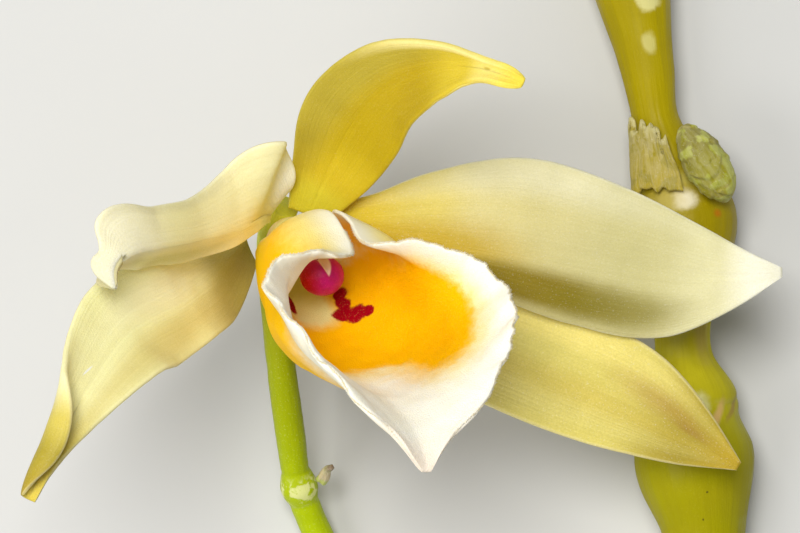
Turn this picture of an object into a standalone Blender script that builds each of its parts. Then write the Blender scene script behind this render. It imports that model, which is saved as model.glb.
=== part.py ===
"""A cut dendrobium orchid stem lying down: one open flower on its stalk, beside a leafless beaded cane.

Lengths in the tables are millimetres. X runs to the right across the stem, Y along the cane towards its
growing end, and Z up. The stem rests on Z = 0.
"""
import math

import bpy
import numpy as np

MM = 0.001

# Overall sizes
BLADE_THICKNESS = 0.66
LIP_THICKNESS = 0.66
SHEATH_THICKNESS = 0.62
CENTRE_OF_BASE = (1.35, 2.55)

# Directions of the flower: across it, up its face, and out through its mouth
FLOWER_YAW = 26.0
FLOWER_NOD = 25.0
FLOWER_CENTRE = np.array([-9.9, 2.5, 20.0])

# Fineness
BLADE_ROWS, BLADE_COLUMNS = 22, 11
LIP_ROWS, LIP_COLUMNS = 30, 25
STALK_ROWS, STALK_SIDES = 40, 10
CANE_ROWS, CANE_SIDES = 58, 18


def flower_axes():
    """Unit vectors across, up and forward, as the rows of a matrix."""
    yaw, nod = math.radians(FLOWER_YAW), math.radians(FLOWER_NOD)
    forward = np.array([math.sin(yaw) * math.cos(nod), -math.sin(nod), math.cos(yaw) * math.cos(nod)])
    up = np.array([0.0, 1.0, 0.0]) - forward[1] * forward
    up /= np.linalg.norm(up)
    return np.array([np.cross(up, forward), up, forward])


AXES = flower_axes()


def in_flower(points):
    """Points given as (across, up, forward) from the flower's centre."""
    return FLOWER_CENTRE + np.asarray(points, float) @ AXES


def unit(vectors):
    return vectors / np.linalg.norm(vectors, axis=-1, keepdims=True)


def curve_through(knots, values, t):
    """A smooth cubic through the values at the knots, read at t. The values may be numbers or points."""
    knots, values = np.asarray(knots, float), np.asarray(values, float)
    if values.ndim == 1:
        return curve_through(knots, values[:, None], t)[:, 0]
    steps = np.diff(knots)[:, None]
    slopes = np.diff(values, axis=0) / steps
    tangents = np.empty_like(values)
    tangents[0], tangents[-1] = slopes[0], slopes[-1]
    tangents[1:-1] = (slopes[:-1] * steps[1:] + slopes[1:] * steps[:-1]) / (steps[1:] + steps[:-1])
    i = np.clip(np.searchsorted(knots, t, side="right") - 1, 0, len(knots) - 2)
    w = steps[i]
    u = (t[:, None] - knots[i][:, None]) / w
    return (
        (2 * u**3 - 3 * u**2 + 1) * values[i]
        + (u**3 - 2 * u**2 + u) * w * tangents[i]
        + (3 * u**2 - 2 * u**3) * values[i + 1]
        + (u**3 - u**2) * w * tangents[i + 1]
    )


def along(points):
    """How far along its length each point of a path lies, from 0 to 1."""
    points = np.asarray(points, float)
    runs = np.cumsum(np.linalg.norm(np.diff(points, axis=0), axis=1))
    return np.concatenate([[0.0], runs]) / runs[-1]


# Shapes from grids of points

def add_object(name, vertices, triangles, colour):
    """One closed body in metres, smooth shaded, with a plain material of its own."""
    mesh = bpy.data.meshes.new(name)
    shift = np.array([*CENTRE_OF_BASE, 0.0])
    mesh.from_pydata(((vertices - shift) * MM).tolist(), [], triangles)
    mesh.validate()
    mesh.polygons.foreach_set("use_smooth", [True] * len(mesh.polygons))
    material = bpy.data.materials.new(name)
    material.use_nodes = True
    shader = material.node_tree.nodes["Principled BSDF"]
    shader.inputs["Base Color"].default_value = (*colour, 1.0)
    shader.inputs["Roughness"].default_value = 0.5
    mesh.materials.append(material)
    obj = bpy.data.objects.new(name, mesh)
    bpy.context.scene.collection.objects.link(obj)
    return obj


def grid_normals(grid):
    return unit(np.cross(np.gradient(grid, axis=0), np.gradient(grid, axis=1)))


def sheet(name, grid, thickness, colour):
    """A blade of even thickness about a grid of points. Both faces are split along the same diagonals."""
    rows, columns = grid.shape[:2]
    offset = grid_normals(grid) * thickness / 2
    vertices = np.concatenate([(grid + offset).reshape(-1, 3), (grid - offset).reshape(-1, 3)])
    below = rows * columns
    triangles = []
    for i in range(rows - 1):
        for j in range(columns - 1):
            a, b = i * columns + j, (i + 1) * columns + j
            c, d = b + 1, a + 1
            triangles += [(a, b, c), (a, c, d)]
            triangles += [(below + a, below + c, below + b), (below + a, below + d, below + c)]
    rim = [j for j in range(columns)]
    rim += [i * columns + columns - 1 for i in range(1, rows)]
    rim += [(rows - 1) * columns + j for j in range(columns - 2, -1, -1)]
    rim += [i * columns for i in range(rows - 2, 0, -1)]
    for a, b in zip(rim, rim[1:] + rim[:1]):
        triangles += [(a, b, below + b), (a, below + b, below + a)]
    return add_object(name, vertices, triangles, colour)


def rings_solid(name, rings, colour):
    """A closed body through rings of points, with a fan at each end."""
    count, sides = rings.shape[:2]
    vertices = np.concatenate([rings.reshape(-1, 3), rings[0].mean(axis=0)[None], rings[-1].mean(axis=0)[None]])
    start, end = count * sides, count * sides + 1
    triangles = []
    for j in range(sides):
        k = (j + 1) % sides
        for i in range(count - 1):
            a, b = i * sides + j, i * sides + k
            triangles += [(a, b, b + sides), (a, b + sides, a + sides)]
        last = (count - 1) * sides
        triangles += [(start, k, j), (end, last + j, last + k)]
    return add_object(name, vertices, triangles, colour)


def rings_along(stations, rows, sides, level=0.0):
    """Round rings along stations of (x, y, z, radius), flattened where they would dip under the level."""
    stations = np.asarray(stations, float)
    knots = along(stations[:, :3])
    t = np.linspace(0.0, 1.0, rows)
    centres = curve_through(knots, stations[:, :3], t)
    radii = curve_through(knots, stations[:, 3], t)[:, None, None]
    forward = unit(np.gradient(centres, axis=0))
    side = unit(np.cross(forward, np.array([0.0, 0.0, 1.0])))
    over = np.cross(forward, side)
    turn = np.linspace(0.0, 2 * np.pi, sides, endpoint=False)[None, :, None]
    rings = centres[:, None] + radii * (np.cos(turn) * side[:, None] + np.sin(turn) * over[:, None])
    rings[..., 2] = np.maximum(rings[..., 2], level)
    return rings


# Sepals and petals

def blade_grid(stations, rows, columns):
    """A blade along its midrib.

    Each station holds the midrib's x, y, z, then for the left and the right half in turn: the half
    width, the roll of that half about the midrib and how far it cups, in degrees. The last number moves
    the right margin back along the blade.
    """
    stations = np.asarray(stations, float)
    knots = along(stations[:, :3])
    t = np.linspace(0.0, 1.0, rows)
    midrib = curve_through(knots, stations[:, :3], t)
    nearly = 0.001
    ahead = curve_through(knots, stations[:, :3], np.clip(t + nearly, 0, 1))
    behind = curve_through(knots, stations[:, :3], np.clip(t - nearly, 0, 1))
    forward = unit(ahead - behind)
    face = np.array([0.0, 0.0, 1.0]) - forward[:, 2:] * forward
    face = unit(face)
    side = np.cross(forward, face)
    values = [curve_through(knots, stations[:, k], t)[:, None] for k in range(3, 10)]
    left_width, right_width, left_roll, right_roll, left_cup, right_cup, lean = values
    q = np.linspace(-1.0, 1.0, columns)[None]
    left = q < 0
    width = np.where(left, left_width, right_width)
    roll = np.radians(np.where(left, left_roll, right_roll))
    roll = np.where(np.abs(q) < 1e-9, np.radians((left_roll + right_roll) / 2), roll)
    cup = np.radians(np.where(left, left_cup, right_cup))
    cup = np.where(np.abs(cup) < 1e-3, 1e-3, cup)
    out = np.sign(q) * width * np.sin(cup * np.abs(q)) / cup
    rise = width * (1 - np.cos(cup * np.abs(q))) / cup
    back = np.where(q > 0, np.abs(q) ** 1.5, 0.0) * lean
    turned_side = side[:, None] * np.cos(roll)[..., None] + face[:, None] * np.sin(roll)[..., None]
    turned_face = face[:, None] * np.cos(roll)[..., None] - side[:, None] * np.sin(roll)[..., None]
    return (
        midrib[:, None]
        + out[..., None] * turned_side
        + rise[..., None] * turned_face
        - back[..., None] * forward[:, None]
    )


DORSAL_SEPAL = [
    (-8.0, 4.5, 20.8, 1.9, 1.8, 0, 0, 20, 20, 0),
    (-6.1, 8.5, 23.7, 3.4, 3.8, 0, 0, 20, 25, 0),
    (-4.1, 12.1, 28.0, 4.7, 4.7, 0, 0, 15, 25, 0),
    (-0.7, 15.4, 33.5, 4.1, 4.1, 0, 0, 20, 25, 0),
    (4.0, 16.7, 39.0, 2.1, 2.6, 0, 0, 40, 30, 0),
    (7.2, 16.2, 43.0, 1.0, 1.1, 0, 0, 60, 40, 0),
    (9.0, 15.5, 45.0, 1.0, 1.1, 0, 0, 60, 60, 0),
    (10.1, 15.0, 46.0, 0.4, 0.4, 0, 0, 20, 20, 0),
]
LEFT_SEPAL = [
    (-13.6, 2.5, 16.9, 2.5, 1.2, 46, 5, 20, 20, 0),
    (-15.6, -0.1, 21.2, 4.0, 3.0, 36, 5, 20, 20, 0),
    (-18.4, -2.8, 29.2, 4.2, 4.9, 12, 5, 20, 20, 0),
    (-23.1, -5.9, 37.6, 4.7, 4.95, 0, 0, 20, 25, 0),
    (-25.7, -10.0, 42.6, 3.2, 3.7, 0, 5, 25, 60, 0),
    (-27.7, -13.7, 45.3, 1.6, 4.6, 0, 15, 20, 165, 0),
    (-29.2, -16.5, 46.7, 0.9, 3.6, 0, 20, 20, 180, 0),
    (-30.3, -19.0, 47.4, 0.6, 1.4, 0, 10, 10, 110, 0),
]
RIGHT_SEPAL = [
    (-8.0, 1.5, 16.0, 1.6, 1.6, 0, 0, 20, 20, 0),
    (-2.6, -2.1, 17.3, 3.2, 3.2, 0, 0, 20, 20, 0),
    (4.4, -5.4, 17.2, 4.8, 4.6, 0, 0, 15, 15, 0),
    (14.1, -9.3, 16.4, 5.4, 5.3, 0, 0, 12, 15, 0),
    (20.3, -12.1, 15.8, 5.2, 4.6, 0, 0, 15, 20, 0),
    (25.7, -15.1, 15.4, 3.0, 2.8, 0, 0, 25, 25, 0),
    (30.0, -17.7, 15.2, 0.4, 0.4, 0, 0, 10, 10, 0),
]
LEFT_PETAL = [
    (-11.3, 4.5, 22.2, 0.7, 1.9, 10, 25, 10, 10, 0),
    (-11.8, 4.5, 24.4, 0.9, 5.3, 20, 38, 0, 10, 0),
    (-12.6, 4.1, 27.2, 1.4, 7.5, 40, 49, 0, 10, 0),
    (-14.3, 3.2, 30.6, 2.4, 5.25, 55, 26, 0, -15, 0),
    (-16.9, 2.4, 34.2, 3.4, 3.6, 65, 15, 0, -20, 0),
    (-20.0, 1.8, 38.2, 3.8, 3.3, 75, 5, 10, -10, -0.2),
    (-22.5, 1.0, 41.4, 3.7, 3.45, 92, 0, 20, -5, -1.35),
    (-23.1, 0.5, 42.1, 3.7, 1.8, 106, 0, 20, 0, -0.5),
    (-23.5, -0.3, 42.7, 3.5, 2.3, 120, 0, 20, 0, 0.4),
    (-23.4, -1.8, 43.2, 0.4, 0.3, 120, 0, 0, 0, 0),
]
RIGHT_PETAL = [
    (-7.4, 4.5, 19.0, 1.2, 1.2, 0, 0, 20, 20, 0),
    (-3.1, 3.7, 21.2, 2.5, 1.6, 0, 0, 10, 10, 0),
    (2.6, 3.1, 21.6, 5.5, 3.8, 8, 8, -15, -42, 0),
    (9.6, 2.3, 21.2, 7.5, 5.6, 5, 8, -15, -50, 0),
    (17.5, 0.9, 19.8, 6.6, 6.8, 0, 6, -5, -42, 0),
    (24.6, -0.3, 18.4, 4.6, 6.0, 0, 2, 0, -20, 0),
    (29.5, -0.7, 17.6, 2.6, 3.0, 0, 0, 0, 0, 0),
    (33.7, -0.5, 17.0, 0.4, 0.4, 0, 0, 0, 0, 0),
]

# The lip: each cross-section from the floor to the margin on either side, as (across, up, forward)
LIP_RIGHT = [
    [(0, -3.1, -2.2), (0.9, -2.9, -2.1), (1.6, -2.4, -1.8), (1.9, -1.6, -1.2), (2.2, -0.8, -0.6)],
    [(0, -4.1, 0.0), (1.8, -3.4, 0.3), (2.8, -1.4, 1.0), (3.1, 0.2, 1.9), (2.9, 1.5, 2.8)],
    [(0, -5.0, 5.0), (3.0, -4.1, 5.2), (4.8, -1.0, 5.4), (4.0, 3.2, 5.8), (0.7, 5.4, 6.2)],
    [(0, -5.4, 9.5), (3.9, -4.4, 9.6), (6.0, -1.1, 9.4), (4.9, 3.9, 9.6), (0.5, 6.2, 10.0)],
    [(0, -5.5, 13.0), (4.5, -4.4, 12.8), (6.8, -1.2, 12.0), (5.2, 4.0, 12.6), (0.7, 5.8, 13.8)],
    [(0, -5.3, 15.6), (4.7, -4.3, 15.0), (7.3, -1.3, 13.8), (6.4, 3.2, 13.8), (4.0, 6.5, 14.6)],
    [(0, -5.0, 18.0), (4.5, -3.9, 17.3), (7.5, -1.5, 15.9), (8.0, 2.2, 15.2), (8.2, 6.2, 16.3)],
    [(0, -4.6, 20.8), (4.1, -3.5, 20.2), (7.1, -1.5, 18.9), (9.0, 1.4, 18.0), (10.8, 4.8, 18.9)],
    [(0, -4.1, 24.0), (3.2, -3.0, 23.7), (6.0, -1.2, 23.2), (8.5, 1.0, 23.0), (10.6, 3.9, 23.2)],
    [(0, -4.1, 27.4), (2.5, -3.2, 27.4), (4.7, -1.8, 27.2), (6.7, -0.2, 27.0), (8.4, 1.2, 26.8)],
    [(0, -4.7, 30.2), (1.5, -4.2, 30.2), (2.8, -3.4, 30.1), (4.0, -2.6, 30.1), (5.0, -1.8, 30.1)],
    [(0, -5.4, 31.5), (0.8, -5.1, 31.4), (1.4, -4.7, 31.3), (1.9, -4.3, 31.2), (2.4, -3.9, 31.2)],
    [(0, -6.2, 32.6), (0.12, -6.2, 32.6), (0.24, -6.2, 32.6), (0.34, -6.2, 32.6), (0.4, -6.2, 32.6)],
]
LIP_LEFT = [
    [(0.9, -2.9, -2.1), (1.6, -2.4, -1.8), (1.9, -1.6, -1.2), (2.2, -0.8, -0.6)],
    [(1.8, -3.4, 0.3), (2.8, -1.4, 1.0), (3.1, 0.2, 1.9), (2.9, 1.5, 2.8)],
    [(2.9, -4.1, 5.2), (4.5, -1.0, 5.4), (3.8, 3.2, 5.8), (0.7, 5.4, 6.2)],
    [(3.7, -4.4, 9.6), (5.6, -1.1, 9.4), (4.6, 3.9, 9.6), (0.6, 6.2, 10.4)],
    [(4.3, -4.6, 12.8), (6.3, -1.3, 12.0), (4.6, 4.2, 12.8), (1.3, 5.2, 15.0)],
    [(4.5, -4.5, 15.0), (6.8, -1.3, 13.8), (5.0, 4.0, 13.8), (4.2, 5.9, 15.8)],
    [(4.4, -4.1, 17.3), (7.1, -1.3, 15.9), (6.9, 3.0, 15.0), (8.2, 6.0, 16.7)],
    [(4.0, -3.6, 20.2), (7.1, -1.3, 18.9), (8.0, 1.8, 18.0), (10.8, 4.8, 18.9)],
    [(3.1, -2.8, 23.7), (5.9, -1.0, 23.2), (8.6, 1.0, 23.0), (10.6, 3.9, 23.2)],
    [(2.5, -3.2, 27.4), (4.7, -1.8, 27.2), (6.7, -0.2, 27.0), (8.4, 1.2, 26.8)],
    [(1.5, -4.2, 30.2), (2.8, -3.4, 30.1), (4.0, -2.6, 30.1), (5.0, -1.8, 30.1)],
    [(0.8, -5.1, 31.4), (1.4, -4.7, 31.3), (1.9, -4.3, 31.2), (2.4, -3.9, 31.2)],
    [(0.12, -6.2, 32.6), (0.24, -6.2, 32.6), (0.34, -6.2, 32.6), (0.4, -6.2, 32.6)],
]
LIP_SHARES = [0.0, 0.25, 0.5, 0.76, 1.0]
LIP_RIPPLES = 13
LIP_RIPPLE_HEIGHT = 0.22
LIP_SKEW = 0.3


def lip_grid(rows, columns):
    """The rolled lip: its two margins meet over the column and then flare into the mouth."""
    sections = []
    for left, right in zip(LIP_LEFT, LIP_RIGHT):
        sections.append(np.concatenate([np.array(left, float)[::-1] * [-1, 1, 1], right]))
    sections = np.array(sections)
    count = sections.shape[1]
    t = np.linspace(0.0, 1.0, rows)
    long = curve_through(along(sections[:, count // 2]), sections.reshape(len(sections), -1), t)
    long = long.reshape(rows, count, 3).transpose(1, 0, 2).reshape(count, -1)
    q = np.linspace(-1.0, 1.0, columns)
    shares = [-s for s in LIP_SHARES[:0:-1]] + LIP_SHARES
    grid = curve_through(shares, long, q).reshape(columns, rows, 3).transpose(1, 0, 2)
    wave = np.sin(LIP_RIPPLES * 2 * np.pi * t) * np.clip((t - 0.4) * 5, 0, 1) * np.clip((1 - t) * 8, 0, 1)
    lift = LIP_RIPPLE_HEIGHT * wave[:, None] * np.abs(q)[None] ** 8
    grid = grid + lift[..., None] * grid_normals(grid)
    grid[..., 0] += LIP_SKEW * t[:, None] ** 2
    return in_flower(grid)


# Column and anther cap, as (across, up, forward)
COLUMN = [(0, -1.7, -1.5, 1.0), (0, -0.6, -0.6, 1.6), (0, 0.4, 1.0, 1.9), (0, 0.8, 3.4, 1.9), (0, 0.3, 5.9, 1.7)]
CAP_CENTRE = (0.0, 0.1, 8.0)
CAP_RADII = (1.95, 1.75, 1.65)
CAP_GROOVE = 0.35


def column():
    stations = np.array(COLUMN, float)
    stations[:, :3] = in_flower(stations[:, :3])
    return rings_solid("column", rings_along(stations, 12, 12), (0.62, 0.68, 0.22))


def anther_cap(rows=12, sides=16):
    """A rounded cap with a groove down its upper middle."""
    rings = []
    for i in range(rows):
        polar = math.pi * (i + 0.6) / (rows + 0.2)
        turn = np.linspace(0.0, 2 * np.pi, sides, endpoint=False)
        groove = 1 - CAP_GROOVE * np.exp(-((turn - np.pi / 2) / 0.35) ** 2) * math.sin(polar) ** 2
        flat = np.stack([np.cos(turn) * groove, np.sin(turn) * groove, np.zeros(sides)], axis=1)
        ring = flat * math.sin(polar) + np.array([0.0, 0.0, -math.cos(polar)])
        rings.append(np.array(CAP_CENTRE) + ring * CAP_RADII)
    return rings_solid("anther_cap", in_flower(np.array(rings)), (0.55, 0.0, 0.12))


# The flower's stalk, from the flower down to the surface and across to the cane, as (x, y, z, radius)
FLOWER_STALK = [
    (-10.2, 5.3, 17.3, 1.3),
    (-11.2, 3.0, 14.9, 1.4),
    (-11.3, -0.6, 13.2, 1.35),
    (-11.1, -3.9, 12.4, 1.3),
    (-10.6, -9.3, 10.4, 1.3),
    (-9.9, -15.1, 7.3, 1.35),
    (-9.4, -19.0, 5.0, 1.4),
    (-9.2, -19.9, 4.5, 1.62),
    (-8.8, -21.2, 3.8, 1.4),
    (-7.6, -24.2, 2.5, 1.35),
    (-4.4, -29.8, 1.3, 1.4),
    (1.4, -35.6, 1.3, 1.4),
    (9.1, -39.1, 2.2, 1.4),
    (17.3, -39.9, 3.6, 1.5),
    (22.6, -39.2, 4.4, 1.8),
]
STALK_BRACT = [
    (-7.15, -19.5, 5.3, 0.5, 0.5, 0, 0, 40, 40, 0),
    (-6.85, -19.0, 6.0, 0.45, 0.45, 0, 0, 40, 40, 0),
    (-6.6, -18.4, 6.7, 0.3, 0.3, 0, 0, 30, 30, 0),
    (-6.1, -18.1, 7.4, 0.15, 0.15, 0, 0, 10, 10, 0),
]

# The cane, from its cut end to its growing end, as (x, y, z, radius)
CANE = [
    (27.8, -48.5, 4.1, 4.0),
    (27.6, -43.5, 4.6, 4.9),
    (27.5, -39.4, 4.2, 3.9),
    (27.6, -38.4, 4.2, 4.0),
    (27.7, -34.9, 4.2, 2.7),
    (27.8, -29.4, 4.4, 3.1),
    (27.6, -24.0, 4.7, 3.9),
    (26.6, -16.6, 5.2, 5.5),
    (26.3, -13.2, 5.0, 4.4),
    (26.2, -12.3, 5.0, 4.5),
    (25.7, -8.0, 5.0, 2.7),
    (25.6, -1.2, 5.0, 3.6),
    (25.8, 4.7, 4.5, 4.8),
    (25.2, 7.6, 4.6, 3.9),
    (25.0, 8.4, 4.6, 3.8),
    (24.3, 10.0, 4.7, 2.95),
    (23.3, 12.9, 4.8, 2.25),
    (22.5, 17.8, 4.8, 2.5),
    (21.3, 24.2, 4.5, 3.4),
    (20.4, 29.7, 4.2, 4.3),
    (19.8, 32.4, 4.3, 3.6),
    (19.2, 36.5, 4.4, 1.9),
    (18.5, 42.6, 4.2, 2.5),
    (18.2, 46.4, 4.2, 2.9),
    (17.9, 48.6, 4.4, 2.2),
    (17.6, 51.6, 4.8, 1.3),
    (17.4, 54.0, 5.3, 0.5),
]

# The torn sheath round the upper joint, and the bud beside it
SHEATH_FROM, SHEATH_TO = 0.540, 0.583
SHEATH_TURNS = (88.0, 156.0)
SHEATH_GAP = 0.38
SHEATH_TEETH = 0.9
SHEATH_SLOPE = 1.3
SHEATH_LEAN = 0.05
SIDE_BUD = [
    (29.3, 6.3, 8.6, 0.7),
    (28.7, 7.3, 9.7, 1.6),
    (27.4, 9.3, 10.2, 2.05),
    (26.3, 11.1, 9.7, 1.6),
    (25.6, 12.4, 8.4, 0.6),
]


def sheath_grid(rows=8, columns=26):
    """A papery scrap over the top of the cane, standing a little off it, with a torn slanting upper edge."""
    stations = np.array(CANE, float)
    knots = along(stations[:, :3])
    turn = np.radians(np.linspace(*SHEATH_TURNS, columns))
    tear = SHEATH_TEETH * (0.5 + 0.3 * np.sin(7 * turn) + 0.2 * np.sin(17 * turn + 1.0))
    tear = tear + SHEATH_SLOPE * np.linspace(0.0, 1.0, columns)
    grid = np.empty((rows, columns, 3))
    for i, t in enumerate(np.linspace(SHEATH_FROM, SHEATH_TO, rows)):
        here = curve_through(knots, stations, np.array([t]))[0]
        flare = 0.25 * (i / (rows - 1)) ** 2
        radius = here[3] + SHEATH_GAP + SHEATH_THICKNESS / 2 + flare
        grid[i, :, 0] = here[0] + radius * np.cos(turn) + SHEATH_LEAN * tear * i / (rows - 1)
        grid[i, :, 1] = here[1] + tear * i / (rows - 1)
        grid[i, :, 2] = here[2] + radius * np.sin(turn)
    return grid


def build():
    for obj in list(bpy.data.objects):
        bpy.data.objects.remove(obj)
    blades = {
        "dorsal_sepal": (DORSAL_SEPAL, (0.72, 0.55, 0.06)),
        "left_sepal": (LEFT_SEPAL, (0.80, 0.68, 0.22)),
        "right_sepal": (RIGHT_SEPAL, (0.72, 0.64, 0.18)),
        "left_petal": (LEFT_PETAL, (0.86, 0.78, 0.42)),
        "right_petal": (RIGHT_PETAL, (0.80, 0.76, 0.42)),
    }
    for name, (stations, colour) in blades.items():
        sheet(name, blade_grid(stations, BLADE_ROWS, BLADE_COLUMNS), BLADE_THICKNESS, colour)
    sheet("lip", lip_grid(LIP_ROWS, LIP_COLUMNS), LIP_THICKNESS, (0.90, 0.45, 0.02))
    column()
    anther_cap()
    rings_solid("flower_stalk", rings_along(FLOWER_STALK, STALK_ROWS, STALK_SIDES), (0.25, 0.36, 0.02))
    sheet("stalk_bract", blade_grid(STALK_BRACT, 7, 5), SHEATH_THICKNESS, (0.45, 0.45, 0.15))
    rings_solid("cane", rings_along(CANE, CANE_ROWS, CANE_SIDES), (0.36, 0.32, 0.02))
    sheet("cane_sheath", sheath_grid(), SHEATH_THICKNESS, (0.55, 0.50, 0.25))
    rings_solid("side_bud", rings_along(SIDE_BUD, 9, 10), (0.42, 0.46, 0.12))


build()
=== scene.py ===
# %% [markdown]
# # An orchid stem, dressed for its portrait
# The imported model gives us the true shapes: three sepals, two petals, a rolled lip, the column with its
# anther cap, a stalk and a beaded cane. Its solids are coarse, so this lesson rebuilds each one with many
# more points from the same few numbers, and gives each a finish that is worked out by formulas.
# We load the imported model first, because every piece has to sit exactly where its solid sits.

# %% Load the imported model
import math

import bpy
import numpy as np
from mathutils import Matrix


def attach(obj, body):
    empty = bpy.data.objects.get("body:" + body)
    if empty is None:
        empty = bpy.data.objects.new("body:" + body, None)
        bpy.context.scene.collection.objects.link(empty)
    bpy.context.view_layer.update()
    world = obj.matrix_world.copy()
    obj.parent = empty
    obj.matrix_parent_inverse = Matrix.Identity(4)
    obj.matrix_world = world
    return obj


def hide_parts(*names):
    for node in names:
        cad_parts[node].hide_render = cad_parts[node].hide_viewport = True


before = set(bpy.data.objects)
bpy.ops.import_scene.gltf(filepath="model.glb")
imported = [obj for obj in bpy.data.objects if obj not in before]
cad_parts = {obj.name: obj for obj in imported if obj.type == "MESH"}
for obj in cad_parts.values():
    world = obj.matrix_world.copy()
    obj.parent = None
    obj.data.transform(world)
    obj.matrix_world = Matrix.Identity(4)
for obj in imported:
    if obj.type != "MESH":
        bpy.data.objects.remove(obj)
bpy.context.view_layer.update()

print("nodes:", ", ".join(sorted(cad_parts)))

# %% [markdown]
# ## Shared numbers
# A flower is measured most easily along its own directions: across, up its face, and out of its mouth.
# The tables below use millimetres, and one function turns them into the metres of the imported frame.

# %% Sizes and directions
MM = 0.001
BLADE_THICKNESS = 0.66
LIP_THICKNESS = 0.66
SHEATH_THICKNESS = 0.62
CENTRE_OF_BASE = (1.35, 2.55)
FLOWER_YAW = 26.0
FLOWER_NOD = 25.0
FLOWER_CENTRE = np.array([-9.9, 2.5, 20.0])


def flower_axes():
    """Unit vectors across, up and forward, as the rows of a matrix."""
    yaw, nod = math.radians(FLOWER_YAW), math.radians(FLOWER_NOD)
    forward = np.array([math.sin(yaw) * math.cos(nod), -math.sin(nod), math.cos(yaw) * math.cos(nod)])
    up = np.array([0.0, 1.0, 0.0]) - forward[1] * forward
    up /= np.linalg.norm(up)
    return np.array([np.cross(up, forward), up, forward])


AXES = flower_axes()


def in_flower(points):
    """Points given as (across, up, forward) from the flower's centre."""
    return FLOWER_CENTRE + np.asarray(points, float) @ AXES


def in_frame(points):
    """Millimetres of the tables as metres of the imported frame."""
    return (np.asarray(points, float) - [*CENTRE_OF_BASE, 0.0]) * MM


print("the mouth points along", AXES[2].round(2))

# %% [markdown]
# ## Smooth lines through few numbers
# Petals and canes have no straight runs. A cubic curve passes through every number in a table and stays
# smooth between them, so a table of eight rows is enough for a whole petal. Nothing that grew is quite even,
# so we also need a soft noise, and it has to give the same numbers on every run.

# %% Curves and noise
def unit(vectors):
    return vectors / np.linalg.norm(vectors, axis=-1, keepdims=True)


def curve_through(knots, values, t):
    """A smooth cubic through the values at the knots, read at t. The values may be numbers or points."""
    knots, values = np.asarray(knots, float), np.asarray(values, float)
    if values.ndim == 1:
        return curve_through(knots, values[:, None], t)[:, 0]
    steps = np.diff(knots)[:, None]
    slopes = np.diff(values, axis=0) / steps
    tangents = np.empty_like(values)
    tangents[0], tangents[-1] = slopes[0], slopes[-1]
    tangents[1:-1] = (slopes[:-1] * steps[1:] + slopes[1:] * steps[:-1]) / (steps[1:] + steps[:-1])
    i = np.clip(np.searchsorted(knots, t, side="right") - 1, 0, len(knots) - 2)
    w = steps[i]
    u = (t[:, None] - knots[i][:, None]) / w
    return (
        (2 * u**3 - 3 * u**2 + 1) * values[i]
        + (u**3 - 2 * u**2 + u) * w * tangents[i]
        + (3 * u**2 - 2 * u**3) * values[i + 1]
        + (u**3 - u**2) * w * tangents[i + 1]
    )


def along(points):
    """How far along its length each point of a path lies, from 0 to 1."""
    points = np.asarray(points, float)
    runs = np.cumsum(np.linalg.norm(np.diff(points, axis=0), axis=1))
    return np.concatenate([[0.0], runs]) / runs[-1]


def lattice(places, seed):
    """A repeatable number from 0 to 1 for each whole-numbered place."""
    mixed = places[..., 0] * 374761393 + places[..., 1] * 668265263 + places[..., 2] * 974634777
    mixed = (mixed + seed * 1274126177) & 0xFFFFFFFF
    mixed = ((mixed ^ (mixed >> 13)) * 1274126177) & 0xFFFFFFFF
    return (mixed ^ (mixed >> 16)) / 0xFFFFFFFF


def noise(points, cell, seed=0):
    """Soft noise from -1 to 1 in three dimensions, with bumps about one cell across."""
    places = np.asarray(points, float) / cell
    base = np.floor(places).astype(np.int64)
    share = places - base
    share = share * share * (3 - 2 * share)
    total = 0.0
    for corner in np.ndindex(2, 2, 2):
        weight = np.prod(np.where(corner, share, 1 - share), axis=-1)
        total = total + weight * lattice(base + np.array(corner), seed)
    return total * 2 - 1


def noises(points, *layers):
    """Several noises added up. Each layer is (height, cell, seed)."""
    return sum(height * noise(points, cell, seed) for height, cell, seed in layers)


def hill(x, width):
    """A soft bump that is 1 where x is 0 and has faded out two widths away."""
    return np.exp(-((x / width) ** 2))


def tapered(t, start, end):
    """1 along most of a run, and down to 0 at both of its ends. Larger numbers make shorter ends."""
    return np.clip(t * start, 0, 1) * np.clip((1 - t) * end, 0, 1)


print("noise at the origin:", round(float(noise(np.zeros((1, 3)), 1.0)[0]), 3))

# %% [markdown]
# ## From grids to closed meshes
# A petal is a thin sheet, so we build a grid for its middle and push it out on both sides. It is thickest
# in the middle and thins to a fine rim, as living tissue does. Stalks and canes are rings joined in a row.
# Both keep two numbers at each point, across and along, which the finishes use later as a map.

# %% Mesh builders
def grid_normals(grid):
    """The direction straight off the sheet at each point of a grid."""
    return unit(np.cross(np.gradient(grid, axis=0), np.gradient(grid, axis=1)))


def piece(name, vertices, faces, across, along_it):
    """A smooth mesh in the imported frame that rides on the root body, with its map of two numbers."""
    mesh = bpy.data.meshes.new(name)
    mesh.from_pydata(in_frame(vertices).tolist(), [], faces)
    mesh.polygons.foreach_set("use_smooth", [True] * len(mesh.polygons))
    corners = np.empty(len(mesh.loops), np.int64)
    mesh.loops.foreach_get("vertex_index", corners)
    layer = mesh.uv_layers.new(name="growth")
    layer.data.foreach_set("uv", np.stack([across[corners], along_it[corners]], axis=1).ravel())
    obj = bpy.data.objects.new(name, mesh)
    bpy.context.scene.collection.objects.link(obj)
    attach(obj, "root")
    return obj


def sheet_map(rows, columns):
    """For each point of a grid, how far across it lies, from -1 to 1, and how far along, from 0 to 1."""
    return np.meshgrid(np.linspace(-1.0, 1.0, columns), np.linspace(0.0, 1.0, rows))


def paint(obj, name, values):
    """Keeps one number for each point of the mesh, for a material to read."""
    layer = obj.data.attributes.new(name, "FLOAT", "POINT")
    layer.data.foreach_set("value", np.asarray(values, np.float32).ravel())


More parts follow.
